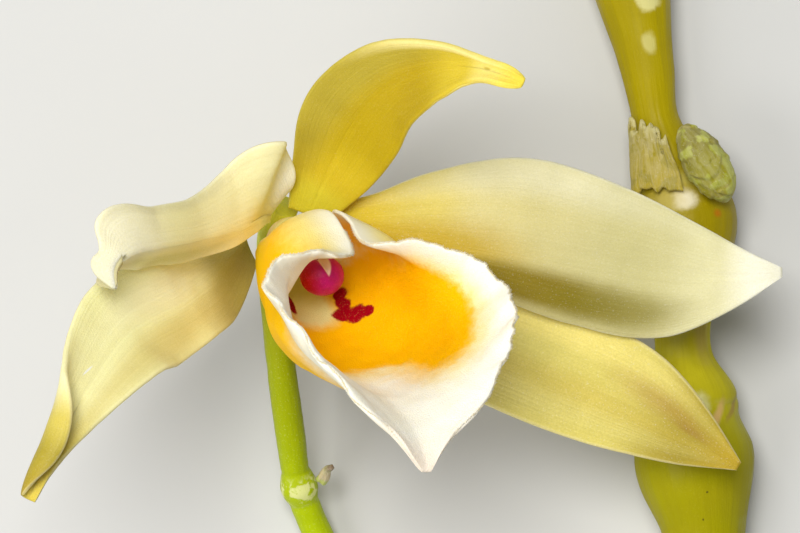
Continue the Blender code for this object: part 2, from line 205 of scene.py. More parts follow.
def sheet_piece(name, grid, thickness, face_side=1, rim=0.25, keel=0.0, across=None):
    """A closed sheet about a grid, thinner at its margins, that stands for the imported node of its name.

    face_side says on which side of the grid, along its normals, the face of the blade lies. rim is the
    share of the thickness left at the margin, and keel is added on the other side. across is given where
    the columns aren't evenly spaced.
    """
    rows, columns = grid.shape[:2]
    q, t = sheet_map(rows, columns)
    if across is not None:
        q = across
    edge = np.clip(np.maximum(np.abs(q), np.abs(2 * t - 1)), 0, 1) ** 12
    half = thickness / 2 * (rim + (1 - rim) * np.sqrt(1 - edge))
    normals = grid_normals(grid)
    above = half + (keel if face_side < 0 else 0.0)
    under = half + (keel if face_side > 0 else 0.0)
    first, second = grid + normals * above[..., None], grid - normals * under[..., None]
    a = (np.arange(rows - 1)[:, None] * columns + np.arange(columns - 1)[None]).ravel()
    upper = np.stack([a, a + columns, a + columns + 1, a + 1], axis=1)
    count = rows * columns
    ring = list(range(columns)) + [i * columns + columns - 1 for i in range(1, rows)]
    ring += [(rows - 1) * columns + j for j in range(columns - 2, -1, -1)]
    ring += [i * columns for i in range(rows - 2, 0, -1)]
    sides = [(s, e, count + e, count + s) for s, e in zip(ring, ring[1:] + ring[:1])]
    faces = upper.tolist() + (upper[:, ::-1] + count).tolist() + sides
    vertices = np.concatenate([first.reshape(-1, 3), second.reshape(-1, 3)])
    across_it, along_it = np.tile((q.ravel() + 1) / 2, 2), np.tile(t.ravel(), 2)
    obj = piece("living_" + name, vertices, faces, across_it, along_it)
    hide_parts(name)
    paint(obj, "front", np.repeat([1.0, 0.0] if face_side > 0 else [0.0, 1.0], count))
    return obj


def rings_piece(node, rings):
    """A closed body through rings of points, with a fan at each end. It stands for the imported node."""
    count, sides = rings.shape[:2]
    ends = [rings[0].mean(axis=0)[None], rings[-1].mean(axis=0)[None]]
    vertices = np.concatenate([rings.reshape(-1, 3), *ends])
    i, j = np.arange(count - 1)[:, None] * sides, np.arange(sides)[None]
    k = (j + 1) % sides
    walls = np.stack([i + j, i + k, i + sides + k, i + sides + j], axis=-1).reshape(-1, 4)
    start, last = count * sides, (count - 1) * sides
    caps = [(start, int(b), int(a)) for a, b in zip(j[0], k[0])]
    caps += [(start + 1, last + int(a), last + int(b)) for a, b in zip(j[0], k[0])]
    turn = np.tile(np.arange(sides) / sides, count)
    run = np.repeat(np.linspace(0.0, 1.0, count), sides)
    across, along_it = np.append(turn, [0.5, 0.5]), np.append(run, [0.0, 1.0])
    obj = piece("living_" + node, vertices, walls.tolist() + caps, across, along_it)
    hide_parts(node)
    return obj


def ring_values(values):
    """One number for each ring point, and one for each end's middle point."""
    return np.concatenate([values.ravel(), [values[0].mean(), values[-1].mean()]])


def path_frame(stations, rows):
    """Centres, radii and the two side directions along a path of (x, y, z, radius)."""
    stations = np.asarray(stations, float)
    t = np.linspace(0.0, 1.0, rows)
    centres = curve_through(along(stations[:, :3]), stations[:, :3], t)
    radii = curve_through(along(stations[:, :3]), stations[:, 3], t)
    forward = unit(np.gradient(centres, axis=0))
    side = unit(np.cross(forward, np.array([0.0, 0.0, 1.0])))
    return t, centres, radii, side, np.cross(forward, side)


def rings_along(stations, rows, sides, swell):
    """Round rings along a path. swell(t, turn, points) adds to the radius. No point dips into the floor."""
    t, centres, radii, side, over = path_frame(stations, rows)
    turn = np.linspace(0.0, 2 * np.pi, sides, endpoint=False)[None, :, None]
    spokes = np.cos(turn) * side[:, None] + np.sin(turn) * over[:, None]
    rings = centres[:, None] + radii[:, None, None] * spokes
    rings = rings + swell(t[:, None], turn[..., 0], rings)[..., None] * spokes
    rings[..., 2] = np.maximum(rings[..., 2], 0.0)
    return rings


print("a grid of 3 by 2 is mapped across as", sheet_map(3, 2)[0].tolist())

# %% [markdown]
# ## A painter's box
# A painter mixes a few pots first and names them. The colours below are given in the 0 to 255 values of a
# screen. Blender works with linear light, so one function turns screen values into linear ones.

# %% Named colours
def srgb(red, green, blue):
    screen = np.array([red, green, blue]) / 255.0
    linear = np.where(screen <= 0.04045, screen / 12.92, ((screen + 0.055) / 1.055) ** 2.4)
    return (*linear.tolist(), 1.0)


WHITE = srgb(255, 255, 255)
IVORY = srgb(252, 248, 228)
CREAM = srgb(246, 238, 196)
LEMON = srgb(248, 222, 84)
GOLD = srgb(226, 184, 28)
MUSTARD = srgb(200, 166, 44)
AMBER = srgb(255, 196, 0)
OLIVE = srgb(168, 152, 56)
LEAF = srgb(176, 190, 34)
CANE_DEEP = srgb(150, 134, 10)
BARK = srgb(120, 84, 34)
SOOT = srgb(58, 44, 20)
PAPER = srgb(246, 240, 222)
MILK = srgb(255, 253, 240)
CRIMSON = srgb(158, 2, 26)
MAGENTA = srgb(194, 0, 122)
WINE = srgb(164, 0, 84)
BLUSH = srgb(255, 224, 212)
print("cream in linear light:", [round(value, 3) for value in CREAM[:3]])

# %% [markdown]
# ## Wiring materials in code
# A material is a small machine of nodes. These helpers add one node, join it to others, and give back its
# output, so that a finish reads from top to bottom like a recipe.

# %% Helpers for nodes
def feed(tree, node, inputs):
    """Joins each input whose value is a socket, and sets any other one to its value."""
    for key, value in inputs.items():
        if isinstance(value, bpy.types.NodeSocket):
            tree.links.new(value, node.inputs[key])
        else:
            node.inputs[key].default_value = value
    return node


def add(tree, kind, inputs=None, **settings):
    """Adds a node of a kind, with its settings and its inputs."""
    node = tree.nodes.new(kind)
    for key, value in settings.items():
        setattr(node, key, value)
    return feed(tree, node, inputs or {})


def calc(tree, operation, *values):
    return add(tree, "ShaderNodeMath", dict(enumerate(values)), operation=operation).outputs[0]


def times(tree, first, second):
    return calc(tree, "MULTIPLY", first, second)


def mix(tree, share, first, second, blend="MIX"):
    inputs = {0: share, 6: first, 7: second}
    return add(tree, "ShaderNodeMix", inputs, data_type="RGBA", blend_type=blend).outputs[2]


def lay(tree, colour, layers):
    """Lays colours over a colour. A layer is (mask, strength, colour) and, if it multiplies, that word."""
    for mask, strength, over, *how in layers:
        colour = mix(tree, times(tree, mask, strength), colour, over, *how)
    return colour


def fade(tree, value, low, high, start=0.0, end=1.0):
    """Goes softly from start to end while the value goes from low to high."""
    inputs = {0: value, 1: low, 2: high, 3: start, 4: end}
    return add(tree, "ShaderNodeMapRange", inputs, interpolation_type="SMOOTHSTEP").outputs[0]


def cloudy(tree, vector, size, **inputs):
    """Blender's own soft noise, from 0 to 1, with clouds of about this size."""
    scale = calc(tree, "DIVIDE", 1.0, size)
    return add(tree, "ShaderNodeTexNoise", {"Vector": vector, "Scale": scale, **inputs}).outputs[0]


def ramp(tree, value, stops):
    """A colour for each value, through (place, colour) stops."""
    node = add(tree, "ShaderNodeValToRGB", {0: value})
    node.color_ramp.interpolation = "EASE"
    elements = node.color_ramp.elements
    while len(elements) < len(stops):
        elements.new(0.5)
    for element, (place, colour) in zip(elements, stops):
        element.position, element.color = place, colour
    return node.outputs[0]


def new_group(name, inputs, outputs):
    """An empty node group with named number inputs, or vectors where the default is three numbers."""
    tree = bpy.data.node_groups.new(name, "ShaderNodeTree")
    for label, default in inputs.items():
        kind = "NodeSocketVector" if isinstance(default, tuple) else "NodeSocketFloat"
        tree.interface.new_socket(name=label, in_out="INPUT", socket_type=kind).default_value = default
    for label in outputs:
        tree.interface.new_socket(name=label, in_out="OUTPUT", socket_type="NodeSocketFloat")
    return tree, tree.nodes.new("NodeGroupInput").outputs, tree.nodes.new("NodeGroupOutput").inputs


def use(tree, group, inputs):
    """Places a node group in a material, and gives back its outputs by name."""
    return add(tree, "ShaderNodeGroup", inputs, node_tree=group).outputs


print("materials so far:", len(bpy.data.materials), "and node groups so far:", len(bpy.data.node_groups))

# %% [markdown]
# ## Soft patches
# Many marks on a flower are soft blots: the orange disc, a blush, an olive shade. One group makes such a
# blot on the petal's own map. Its edge wanders a little, because pigment stops cell by cell.

# %% Group: soft patch
ORIGIN = (0.0, 0.0, 0.0)
SQUARENESS = 2.3

PATCH, given, gives = new_group(
    "soft patch",
    {"Across": 0.0, "Along": 0.0, "Place": ORIGIN, "Centre across": 0.5, "Centre along": 0.5,
     "Half across": 0.2, "Half along": 0.2, "Turn": 0.0, "Softness": 0.3, "Ragged": 0.1, "Grain mm": 1.0},
    ["Mask"],
)
shift_a = calc(PATCH, "SUBTRACT", given["Across"], given["Centre across"])
shift_b = calc(PATCH, "SUBTRACT", given["Along"], given["Centre along"])
cosine, sine = calc(PATCH, "COSINE", given["Turn"]), calc(PATCH, "SINE", given["Turn"])
turned_a = calc(PATCH, "MULTIPLY_ADD", shift_a, cosine, times(PATCH, shift_b, sine))
turned_b = calc(PATCH, "SUBTRACT", times(PATCH, shift_b, cosine), times(PATCH, shift_a, sine))
powers = []
for turned, half in ((turned_a, given["Half across"]), (turned_b, given["Half along"])):
    share = calc(PATCH, "ABSOLUTE", calc(PATCH, "DIVIDE", turned, half))
    powers.append(calc(PATCH, "POWER", share, SQUARENESS))
distance = calc(PATCH, "POWER", calc(PATCH, "ADD", *powers), 1 / SQUARENESS)
wander = cloudy(PATCH, given["Place"], given["Grain mm"], Detail=3.0, Roughness=0.65)
wander = times(PATCH, calc(PATCH, "SUBTRACT", wander, 0.5), times(PATCH, given["Ragged"], 2.0))
distance = calc(PATCH, "ADD", distance, wander)
outer = calc(PATCH, "ADD", 1.0, given["Softness"])
inner = calc(PATCH, "SUBTRACT", 1.0, given["Softness"])
PATCH.links.new(fade(PATCH, distance, inner, outer, 1.0, 0.0), gives["Mask"])
print("group:", PATCH.name)

# %% [markdown]
# ## Cells, streaks and mottling
# Close up, a petal is a mosaic of tiny domed cells, and its veins run lengthwise as faint streaks. The
# grain group works in millimetres, so the cells are as small as real ones, and the streak group works on
# the petal's map, so the streaks bend with the petal.

# %% Groups: cell grain, streaks, mottle and margin
GRAIN_MARKS = ["Speckle", "Domes", "Glints"]
GRAIN, given, gives = new_group("cell grain", {"Place": ORIGIN, "Cell mm": 0.16}, GRAIN_MARKS)
scale = calc(GRAIN, "DIVIDE", 1.0, given["Cell mm"])
spot = {"Vector": given["Place"], "Scale": scale}
speckle = add(GRAIN, "ShaderNodeTexNoise", {**spot, "Detail": 2.0}).outputs[0]
domes = add(GRAIN, "ShaderNodeTexVoronoi", spot, feature="F1").outputs[0]
finer = {**spot, "Scale": times(GRAIN, scale, 1.1), "Detail": 1.0}
rare = add(GRAIN, "ShaderNodeTexNoise", finer).outputs[0]
GRAIN.links.new(fade(GRAIN, speckle, 0.3, 0.7), gives["Speckle"])
GRAIN.links.new(calc(GRAIN, "SUBTRACT", 1.0, domes), gives["Domes"])
# Glints marks spots for painted highlights: the finishes lay small light sparkles into their colours there.
GRAIN.links.new(fade(GRAIN, rare, 0.60, 0.76), gives["Glints"])

STREAK_INPUTS = {"Across": 0.0, "Along": 0.0, "Count": 40.0, "Length": 3.0}
STREAKS, given, gives = new_group("streaks", STREAK_INPUTS, ["Streaks"])
stretched = add(STREAKS, "ShaderNodeCombineXYZ", {
    0: times(STREAKS, given["Across"], given["Count"]),
    1: times(STREAKS, given["Along"], given["Length"]),
}).outputs[0]
lines = cloudy(STREAKS, stretched, 1.0, Detail=3.0, Roughness=0.6)
STREAKS.links.new(fade(STREAKS, lines, 0.3, 0.7), gives["Streaks"])

MOTTLE, given, gives = new_group("mottle", {"Place": ORIGIN, "Size mm": 3.0}, ["Mottle"])
clouds = cloudy(MOTTLE, given["Place"], given["Size mm"], Detail=4.0, Distortion=0.4)
MOTTLE.links.new(fade(MOTTLE, clouds, 0.3, 0.7), gives["Mottle"])

MARGIN, given, gives = new_group("margin", {"Across": 0.0, "Width": 0.08}, ["Mask"])
outward = calc(MARGIN, "ABSOLUTE", calc(MARGIN, "MULTIPLY_ADD", given["Across"], 2.0, -1.0))
MARGIN.links.new(fade(MARGIN, outward, calc(MARGIN, "SUBTRACT", 1.0, given["Width"]), 1.0), gives["Mask"])
print("groups:", ", ".join(sorted(group.name for group in bpy.data.node_groups)))

# %% [markdown]
# ## A recipe for living tissue
# Petals and sepals share one recipe with different values: a colour that changes along the blade, blots on
# top of it, a pale margin, lengthwise streaks, and the fine cell grain with its painted glints, tiny painted
# highlights. Some blots of single blades are painted shade or painted light, as noted at each blade. Light
# also goes into a petal and comes out again, so the shader has a little subsurface light, and a soft waxy gloss.

# %% Reading the map and the marks
def coordinates(tree):
    """The piece's own map, across and along, and its place in millimetres."""
    growth = add(tree, "ShaderNodeUVMap", uv_map="growth").outputs[0]
    parts = add(tree, "ShaderNodeSeparateXYZ", {0: growth}).outputs
    place = add(tree, "ShaderNodeTexCoord").outputs["Object"]
    place = add(tree, "ShaderNodeVectorMath", {0: place, 3: 1 / MM}, operation="SCALE").outputs[0]
    return parts[0], parts[1], place


def painted(tree, name):
    """The numbers that paint() kept on the mesh under this name."""
    return add(tree, "ShaderNodeAttribute", attribute_name=name).outputs["Fac"]


def on_face(tree):
    """1 on the face of a sheet and 0 on its back."""
    return fade(tree, painted(tree, "front"), 0.35, 0.65)


def cells_at(tree, where, size):
    return use(tree, GRAIN, {"Place": where[2], "Cell mm": size})


def clouds_at(tree, where, size):
    return use(tree, MOTTLE, {"Place": where[2], "Size mm": size})["Mottle"]


def streaks_at(tree, where, count, length):
    inputs = {"Across": where[0], "Along": where[1], "Count": count, "Length": length}
    return use(tree, STREAKS, inputs)["Streaks"]


def margin_at(tree, where, width):
    return use(tree, MARGIN, {"Across": where[0], "Width": width})["Mask"]


def blots(tree, colour, where, patches):
    """Lays soft patches over a colour.

    Each is (colour, centre, half size, turn in degrees, softness, ragged, strength). Centres and sizes are
    (across, along) on the piece's map, from 0 to 1.
    """
    for tint, centre, half, turn, softness, ragged, strength in patches:
        mask = use(tree, PATCH, {
            "Across": where[0], "Along": where[1], "Place": where[2], "Centre across": centre[0],
            "Centre along": centre[1], "Half across": half[0], "Half along": half[1],
            "Turn": math.radians(turn), "Softness": softness, "Ragged": ragged,
        })["Mask"]
        colour = lay(tree, colour, [(mask, strength, tint)])
    return colour


marks = (cells_at, clouds_at, streaks_at, margin_at, blots)
print("marks:", ", ".join(mark.__name__ for mark in marks))

# %% Starting and ending a material
def new_material(name, gloss, glow=0.0, depth=0.0):
    """A material, its node tree and its shader. glow is how much light enters, depth how deep it goes, in mm."""
    material = bpy.data.materials.new(name)
    material.use_nodes = True
    tree = material.node_tree
    shader = feed(tree, tree.nodes["Principled BSDF"], {
        "Specular IOR Level": gloss, "Subsurface Weight": glow,
        "Subsurface Radius": (0.8, 0.8, 0.6), "Subsurface Scale": depth * MM,
    })
    return material, tree, shader


def surface(tree, shader, colour, worn, roughness, relief, strength, height):
    """Joins colour, roughness and relief to the shader.

    worn is the mask that takes the roughness from its first to its second value. height is in mm.
    """
    inputs = {"Strength": strength, "Distance": height * MM, "Height": relief}
    feed(tree, shader, {
        "Base Color": colour,
        "Roughness": fade(tree, worn, 0.0, 1.0, *roughness),
        "Normal": add(tree, "ShaderNodeBump", inputs).outputs[0],
    })


def dress(obj, material):
    obj.data.materials.append(material)
    return obj


print("a material begins with new_material and ends with surface")

# %% Recipe: tissue
def tissue(name, face, back, patches, rim, streaks, cell=0.16, speckle=0.12, glints=0.04, glow=0.35):
    """Petal tissue. face and back are (place, colour) stops from the base to the tip.

    The patches lie on the face. rim is (colour, width, strength), and streaks is (count, length, strength).
    """
    material, tree, shader = new_material(name, gloss=0.3, glow=glow, depth=0.6)
    where = coordinates(tree)
    face_colour = blots(tree, ramp(tree, where[1], face), where, patches)
    colour = mix(tree, on_face(tree), ramp(tree, where[1], back), face_colour)
    cells, clouds = cells_at(tree, where, cell), clouds_at(tree, where, 3.2)
    veins = streaks_at(tree, where, *streaks[:2])
    colour = lay(tree, colour, [
        (margin_at(tree, where, rim[1]), rim[2], rim[0]),
        (veins, streaks[2], srgb(208, 204, 150), "MULTIPLY"),
        (clouds, 0.10, srgb(214, 212, 176), "MULTIPLY"),
        (cells["Speckle"], speckle, srgb(200, 200, 160), "MULTIPLY"),
        # painted highlights: small white glints laid into the colour
        (cells["Glints"], glints, WHITE),
    ])
    relief = calc(tree, "ADD", times(tree, cells["Domes"], 0.6), times(tree, veins, 0.8))
    surface(tree, shader, colour, cells["Speckle"], (0.46, 0.64), relief, strength=0.45, height=0.06)
    return material


print("recipe:", tissue.__name__)

# %% [markdown]
# ## Sepals and petals
# Each of the five outer parts is one blade: a midrib through a few points, with a left and a right half
# that roll and cup by their own amounts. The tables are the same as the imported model's, so the finer
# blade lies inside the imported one. On the real flower a shallow groove runs down the face, with a keel
# behind it, and the margins wave a little. A cubic can still show a crease where two rows of a table meet,
# so we ease the grid by averaging neighbouring rows a few times.

# %% Tables of the blades
DORSAL_SEPAL = [
    (-8.0, 4.5, 20.8, 1.9, 1.8, 0, 0, 20, 20, 0),
    (-6.1, 8.5, 23.7, 3.4, 3.8, 0, 0, 20, 25, 0),
    (-4.1, 12.1, 28.0, 4.7, 4.7, 0, 0, 15, 25, 0),
    (-0.7, 15.4, 33.5, 4.1, 4.1, 0, 0, 20, 25, 0),
    (4.0, 16.7, 39.0, 2.1, 2.6, 0, 0, 40, 30, 0),
    (7.2, 16.2, 43.0, 1.0, 1.1, 0, 0, 60, 40, 0),
    (9.0, 15.5, 45.0, 1.0, 1.1, 0, 0, 60, 60, 0),
    (10.1, 15.0, 46.0, 0.4, 0.4, 0, 0, 20, 20, 0),
]
LEFT_SEPAL = [
    (-13.6, 2.5, 16.9, 2.5, 1.2, 46, 5, 20, 20, 0),
    (-15.6, -0.1, 21.2, 4.0, 3.0, 36, 5, 20, 20, 0),
    (-18.4, -2.8, 29.2, 4.2, 4.9, 12, 5, 20, 20, 0),
    (-23.1, -5.9, 37.6, 4.7, 4.95, 0, 0, 20, 25, 0),
    (-25.7, -10.0, 42.6, 3.2, 3.7, 0, 5, 25, 60, 0),
    (-27.7, -13.7, 45.3, 1.6, 4.6, 0, 15, 20, 165, 0),
    (-29.2, -16.5, 46.7, 0.9, 3.6, 0, 20, 20, 180, 0),
    (-30.3, -19.0, 47.4, 0.6, 1.4, 0, 10, 10, 110, 0),
]
RIGHT_SEPAL = [
    (-8.0, 1.5, 16.0, 1.6, 1.6, 0, 0, 20, 20, 0),
    (-2.6, -2.1, 17.3, 3.2, 3.2, 0, 0, 20, 20, 0),
    (4.4, -5.4, 17.2, 4.8, 4.6, 0, 0, 15, 15, 0),
    (14.1, -9.3, 16.4, 5.4, 5.3, 0, 0, 12, 15, 0),
    (20.3, -12.1, 15.8, 5.2, 4.6, 0, 0, 15, 20, 0),
    (25.7, -15.1, 15.4, 3.0, 2.8, 0, 0, 25, 25, 0),
    (30.0, -17.7, 15.2, 0.4, 0.4, 0, 0, 10, 10, 0),
]
LEFT_PETAL = [
    (-11.3, 4.5, 22.2, 0.7, 1.9, 10, 25, 10, 10, 0),
    (-11.8, 4.5, 24.4, 0.9, 5.3, 20, 38, 0, 10, 0),
    (-12.6, 4.1, 27.2, 1.4, 7.5, 40, 49, 0, 10, 0),
    (-14.3, 3.2, 30.6, 2.4, 5.25, 55, 26, 0, -15, 0),
    (-16.9, 2.4, 34.2, 3.4, 3.6, 65, 15, 0, -20, 0),
    (-20.0, 1.8, 38.2, 3.8, 3.3, 75, 5, 10, -10, -0.2),
    (-22.5, 1.0, 41.4, 3.7, 3.45, 92, 0, 20, -5, -1.35),
    (-23.1, 0.5, 42.1, 3.7, 1.8, 106, 0, 20, 0, -0.5),
    (-23.5, -0.3, 42.7, 3.5, 2.3, 120, 0, 20, 0, 0.4),
    (-23.4, -1.8, 43.2, 0.4, 0.3, 120, 0, 0, 0, 0),
]
RIGHT_PETAL = [
    (-7.4, 4.5, 19.0, 1.2, 1.2, 0, 0, 20, 20, 0),
    (-3.1, 3.7, 21.2, 2.5, 1.6, 0, 0, 10, 10, 0),
    (2.6, 3.1, 21.6, 5.5, 3.8, 8, 8, -15, -42, 0),
    (9.6, 2.3, 21.2, 7.5, 5.6, 5, 8, -15, -50, 0),
    (17.5, 0.9, 19.8, 6.6, 6.8, 0, 6, -5, -42, 0),
    (24.6, -0.3, 18.4, 4.6, 6.0, 0, 2, 0, -20, 0),
    (29.5, -0.7, 17.6, 2.6, 3.0, 0, 0, 0, 0, 0),
    (33.7, -0.5, 17.0, 0.4, 0.4, 0, 0, 0, 0, 0),
]


# %% Shape of a blade
def blade_grid(stations, rows, columns):
    """A blade along its midrib.

    Each station holds the midrib's x, y, z, then for the left and the right half in turn: the half
    width, the roll of that half about the midrib and how far it cups, in degrees. The last number moves
    the right margin back along the blade.
    """
    stations = np.asarray(stations, float)
    knots = along(stations[:, :3])
    t = np.linspace(0.0, 1.0, rows)
    midrib = curve_through(knots, stations[:, :3], t)
    nearly = 0.001
    ahead = curve_through(knots, stations[:, :3], np.clip(t + nearly, 0, 1))
    behind = curve_through(knots, stations[:, :3], np.clip(t - nearly, 0, 1))
    forward = unit(ahead - behind)
    face = np.array([0.0, 0.0, 1.0]) - forward[:, 2:] * forward
    face = unit(face)
    side = np.cross(forward, face)
    values = [curve_through(knots, stations[:, k], t)[:, None] for k in range(3, 10)]
    left_width, right_width, left_roll, right_roll, left_cup, right_cup, lean = values
    q = np.linspace(-1.0, 1.0, columns)[None]
    left = q < 0
    width = np.where(left, left_width, right_width)
    roll = np.radians(np.where(left, left_roll, right_roll))
    roll = np.where(np.abs(q) < 1e-9, np.radians((left_roll + right_roll) / 2), roll)
    cup = np.radians(np.where(left, left_cup, right_cup))
    cup = np.where(np.abs(cup) < 1e-3, 1e-3, cup)
    out = np.sign(q) * width * np.sin(cup * np.abs(q)) / cup
    rise = width * (1 - np.cos(cup * np.abs(q))) / cup
    back = np.where(q > 0, np.abs(q) ** 1.5, 0.0) * lean
    turned_side = side[:, None] * np.cos(roll)[..., None] + face[:, None] * np.sin(roll)[..., None]
    turned_face = face[:, None] * np.cos(roll)[..., None] - side[:, None] * np.sin(roll)[..., None]
    return (
        midrib[:, None]
        + out[..., None] * turned_side
        + rise[..., None] * turned_face
        - back[..., None] * forward[:, None]
    )


def eased(grid, passes):
    """The grid with its neighbouring rows averaged, so that no crease shows where two table rows meet."""
    for _ in range(passes):
        grid[1:-1] = (grid[:-2] + 2 * grid[1:-1] + grid[2:]) / 4
    return grid


BLADE_ROWS, BLADE_COLUMNS = 190, 81
MIDRIB_WIDTH = 0.09
GROOVE_DEPTH, KEEL_HEIGHT = 0.05, 0.22
MARGIN_WAVE = 0.08


def living_blade(name, stations, seed, material, passes=24):
    """A fine blade with a groove, a keel, soft unevenness and a waving margin. Its grid faces backwards."""
    grid = eased(blade_grid(stations, BLADE_ROWS, BLADE_COLUMNS), passes)
    q, t = sheet_map(BLADE_ROWS, BLADE_COLUMNS)
    ends = tapered(t, 14, 10)
    midrib = hill(q, MIDRIB_WIDTH)
    along_margin = np.stack([t * 60, q * 3, q * 0], axis=-1)
    uneven = noises(grid, (0.14, 5.0, seed), (0.05, 1.8, seed + 1))
    margin = np.abs(q) ** 6 * noises(along_margin, (0.7, 3.2, seed + 2), (0.5, 1.3, seed + 3))
    relief = (GROOVE_DEPTH * midrib + uneven + MARGIN_WAVE * margin) * ends
    grid = grid + grid_normals(grid) * relief[..., None]
    keel = KEEL_HEIGHT * midrib * ends * (1 - 0.6 * t)
    blade = dress(sheet_piece(name, grid, BLADE_THICKNESS, face_side=-1, keel=keel), material)
    print(blade.name, "has", len(blade.data.polygons), "faces")


spine = np.array(RIGHT_PETAL)[:, :3]
print("right petal runs", round(float(np.linalg.norm(np.diff(spine, axis=0), axis=1).sum()), 1), "mm")

# %% [markdown]
# ## Finishes of the five blades
# The petals are pale cream with a satin sheen, the sepals deeper and yellower, and every one glows golden
# where it joins the flower. We give each blade its own run of colours and a few blots. The dorsal sepal
# arches over the flower, so its face is in its own shade, which we paint in as a deep mustard: painted shade.
# It is pale only at its tip, and a pale blot along one margin is a painted highlight.

# %% Dorsal sepal
DORSAL_FINISH = tissue(
    "dorsal sepal tissue",
    # The mustard and gold in the middle of the face run are painted shade, where the arching face turns from the
    # light.
    face=[(0.0, srgb(226, 206, 44)), (0.12, srgb(214, 190, 36)), (0.35, srgb(192, 166, 8)),
          (0.62, srgb(188, 160, 0)), (0.8, srgb(226, 200, 50)), (0.88, srgb(252, 232, 124)),
          (1.0, srgb(246, 218, 70))],
    back=[(0.0, GOLD), (0.5, srgb(224, 206, 90)), (0.85, srgb(255, 236, 130)), (1.0, srgb(255, 232, 90))],
    patches=[
        # painted shade on the face
        (srgb(184, 168, 60), (0.10, 0.42), (0.28, 0.28), 0, 0.5, 0.1, 0.75),
        # painted highlight along the margin that faces the light
        (srgb(250, 236, 160), (0.03, 0.72), (0.09, 0.18), 0, 0.6, 0.1, 0.8),
        (srgb(214, 208, 60), (0.5, 0.03), (0.6, 0.07), 0, 0.6, 0.1, 0.6),
        (srgb(196, 166, 30), (0.40, 0.885), (0.06, 0.012), 0, 0.6, 0.1, 0.7),
    ],
    rim=(srgb(228, 208, 80), 0.05, 0.2), streaks=(40, 2.2, 0.16))
living_blade("dorsal_sepal", DORSAL_SEPAL, 11, DORSAL_FINISH)

# %% [markdown]
# The left sepal hangs down beside the lip, creamy in its middle and dull gold at its tip. Its base is painted
# darker, as painted shade where the left petal shades it, and a pale blot in its middle is painted light laid
# over the shadow that the petal casts there. Its tip curls in along one side, so the paler back shows there.

# %% Left sepal
LEFT_SEPAL_FINISH = tissue(
    "left sepal tissue",
    # The dull olive gold at the base of the face run is painted shade, where the left petal shades the sepal.
    face=[(0.0, srgb(192, 180, 88)), (0.12, srgb(200, 190, 104)), (0.26, srgb(250, 249, 190)),
          (0.5, srgb(250, 249, 190)), (0.75, srgb(252, 246, 186)), (0.9, srgb(212, 194, 84)),
          (1.0, srgb(222, 200, 80))],
    back=[(0.0, MUSTARD), (0.5, srgb(232, 214, 130)), (0.78, srgb(255, 248, 190)), (0.86, srgb(214, 196, 90)),
          (0.92, srgb(178, 160, 50)), (1.0, srgb(176, 152, 40))],
    patches=[
        # painted shade at the base
        (srgb(186, 170, 84), (0.16, 0.14), (0.30, 0.14), 0, 0.6, 0.1, 0.7),
        (srgb(222, 202, 108), (0.22, 0.52), (0.16, 0.30), 16, 0.7, 0.1, 0.55),
        # painted light, laid over the shadow that the left petal casts here
        (srgb(255, 250, 222), (0.66, 0.40), (0.16, 0.16), 20, 0.8, 0.2, 0.5),
        (WHITE, (0.62, 0.71), (0.03, 0.006), 30, 0.4, 0.3, 0.9),
    ],
    rim=(srgb(250, 240, 190), 0.07, 0.4), streaks=(44, 2.2, 0.12), glints=0.08)
living_blade("left_sepal", LEFT_SEPAL, 23, LEFT_SEPAL_FINISH)

# %% [markdown]
# The right sepal is the longest and looks the oldest: its veins show, and it has brown bruises near its tip.
# Its tip is also painted darker, partly its own colour and partly painted shade where it turns from the light.

# %% Right sepal
RIGHT_SEPAL_FINISH = tissue(
    "right sepal tissue",
    # Darker from 0.88 to the tip: partly the sepal's own colour and partly painted shade where the tip turns
    # from the light.
    face=[(0.0, GOLD), (0.2, srgb(222, 208, 96)), (0.45, srgb(228, 216, 122)), (0.7, srgb(220, 206, 108)),
          (0.88, srgb(176, 156, 48)), (1.0, srgb(196, 166, 40))],
    back=[(0.0, GOLD), (0.5, srgb(214, 196, 100)), (1.0, MUSTARD)],
    patches=[
        (srgb(206, 184, 76), (0.62, 0.66), (0.14, 0.24), -8, 0.7, 0.1, 0.5),
        (srgb(226, 214, 130), (0.78, 0.58), (0.10, 0.30), 0, 0.7, 0.1, 0.4),
        (srgb(250, 234, 140), (0.16, 0.50), (0.12, 0.34), 0, 0.7, 0.1, 0.6),
        (srgb(178, 138, 62), (0.34, 0.80), (0.10, 0.09), 14, 0.9, 0.3, 0.45),
        (srgb(160, 120, 46), (0.42, 0.88), (0.05, 0.03), 0, 0.9, 0.3, 0.45),
    ],
    rim=(srgb(244, 232, 176), 0.06, 0.6), streaks=(54, 1.6, 0.2),
    cell=0.17, speckle=0.2, glints=0.14, glow=0.3)
living_blade("right_sepal", RIGHT_SEPAL, 37, RIGHT_SEPAL_FINISH)

# %% [markdown]
# The left petal stands almost on edge, so we see it narrow and pale. Its table turns fast near its blunt end,
# and too much easing would round that end off, so it is eased fewer times than the others.

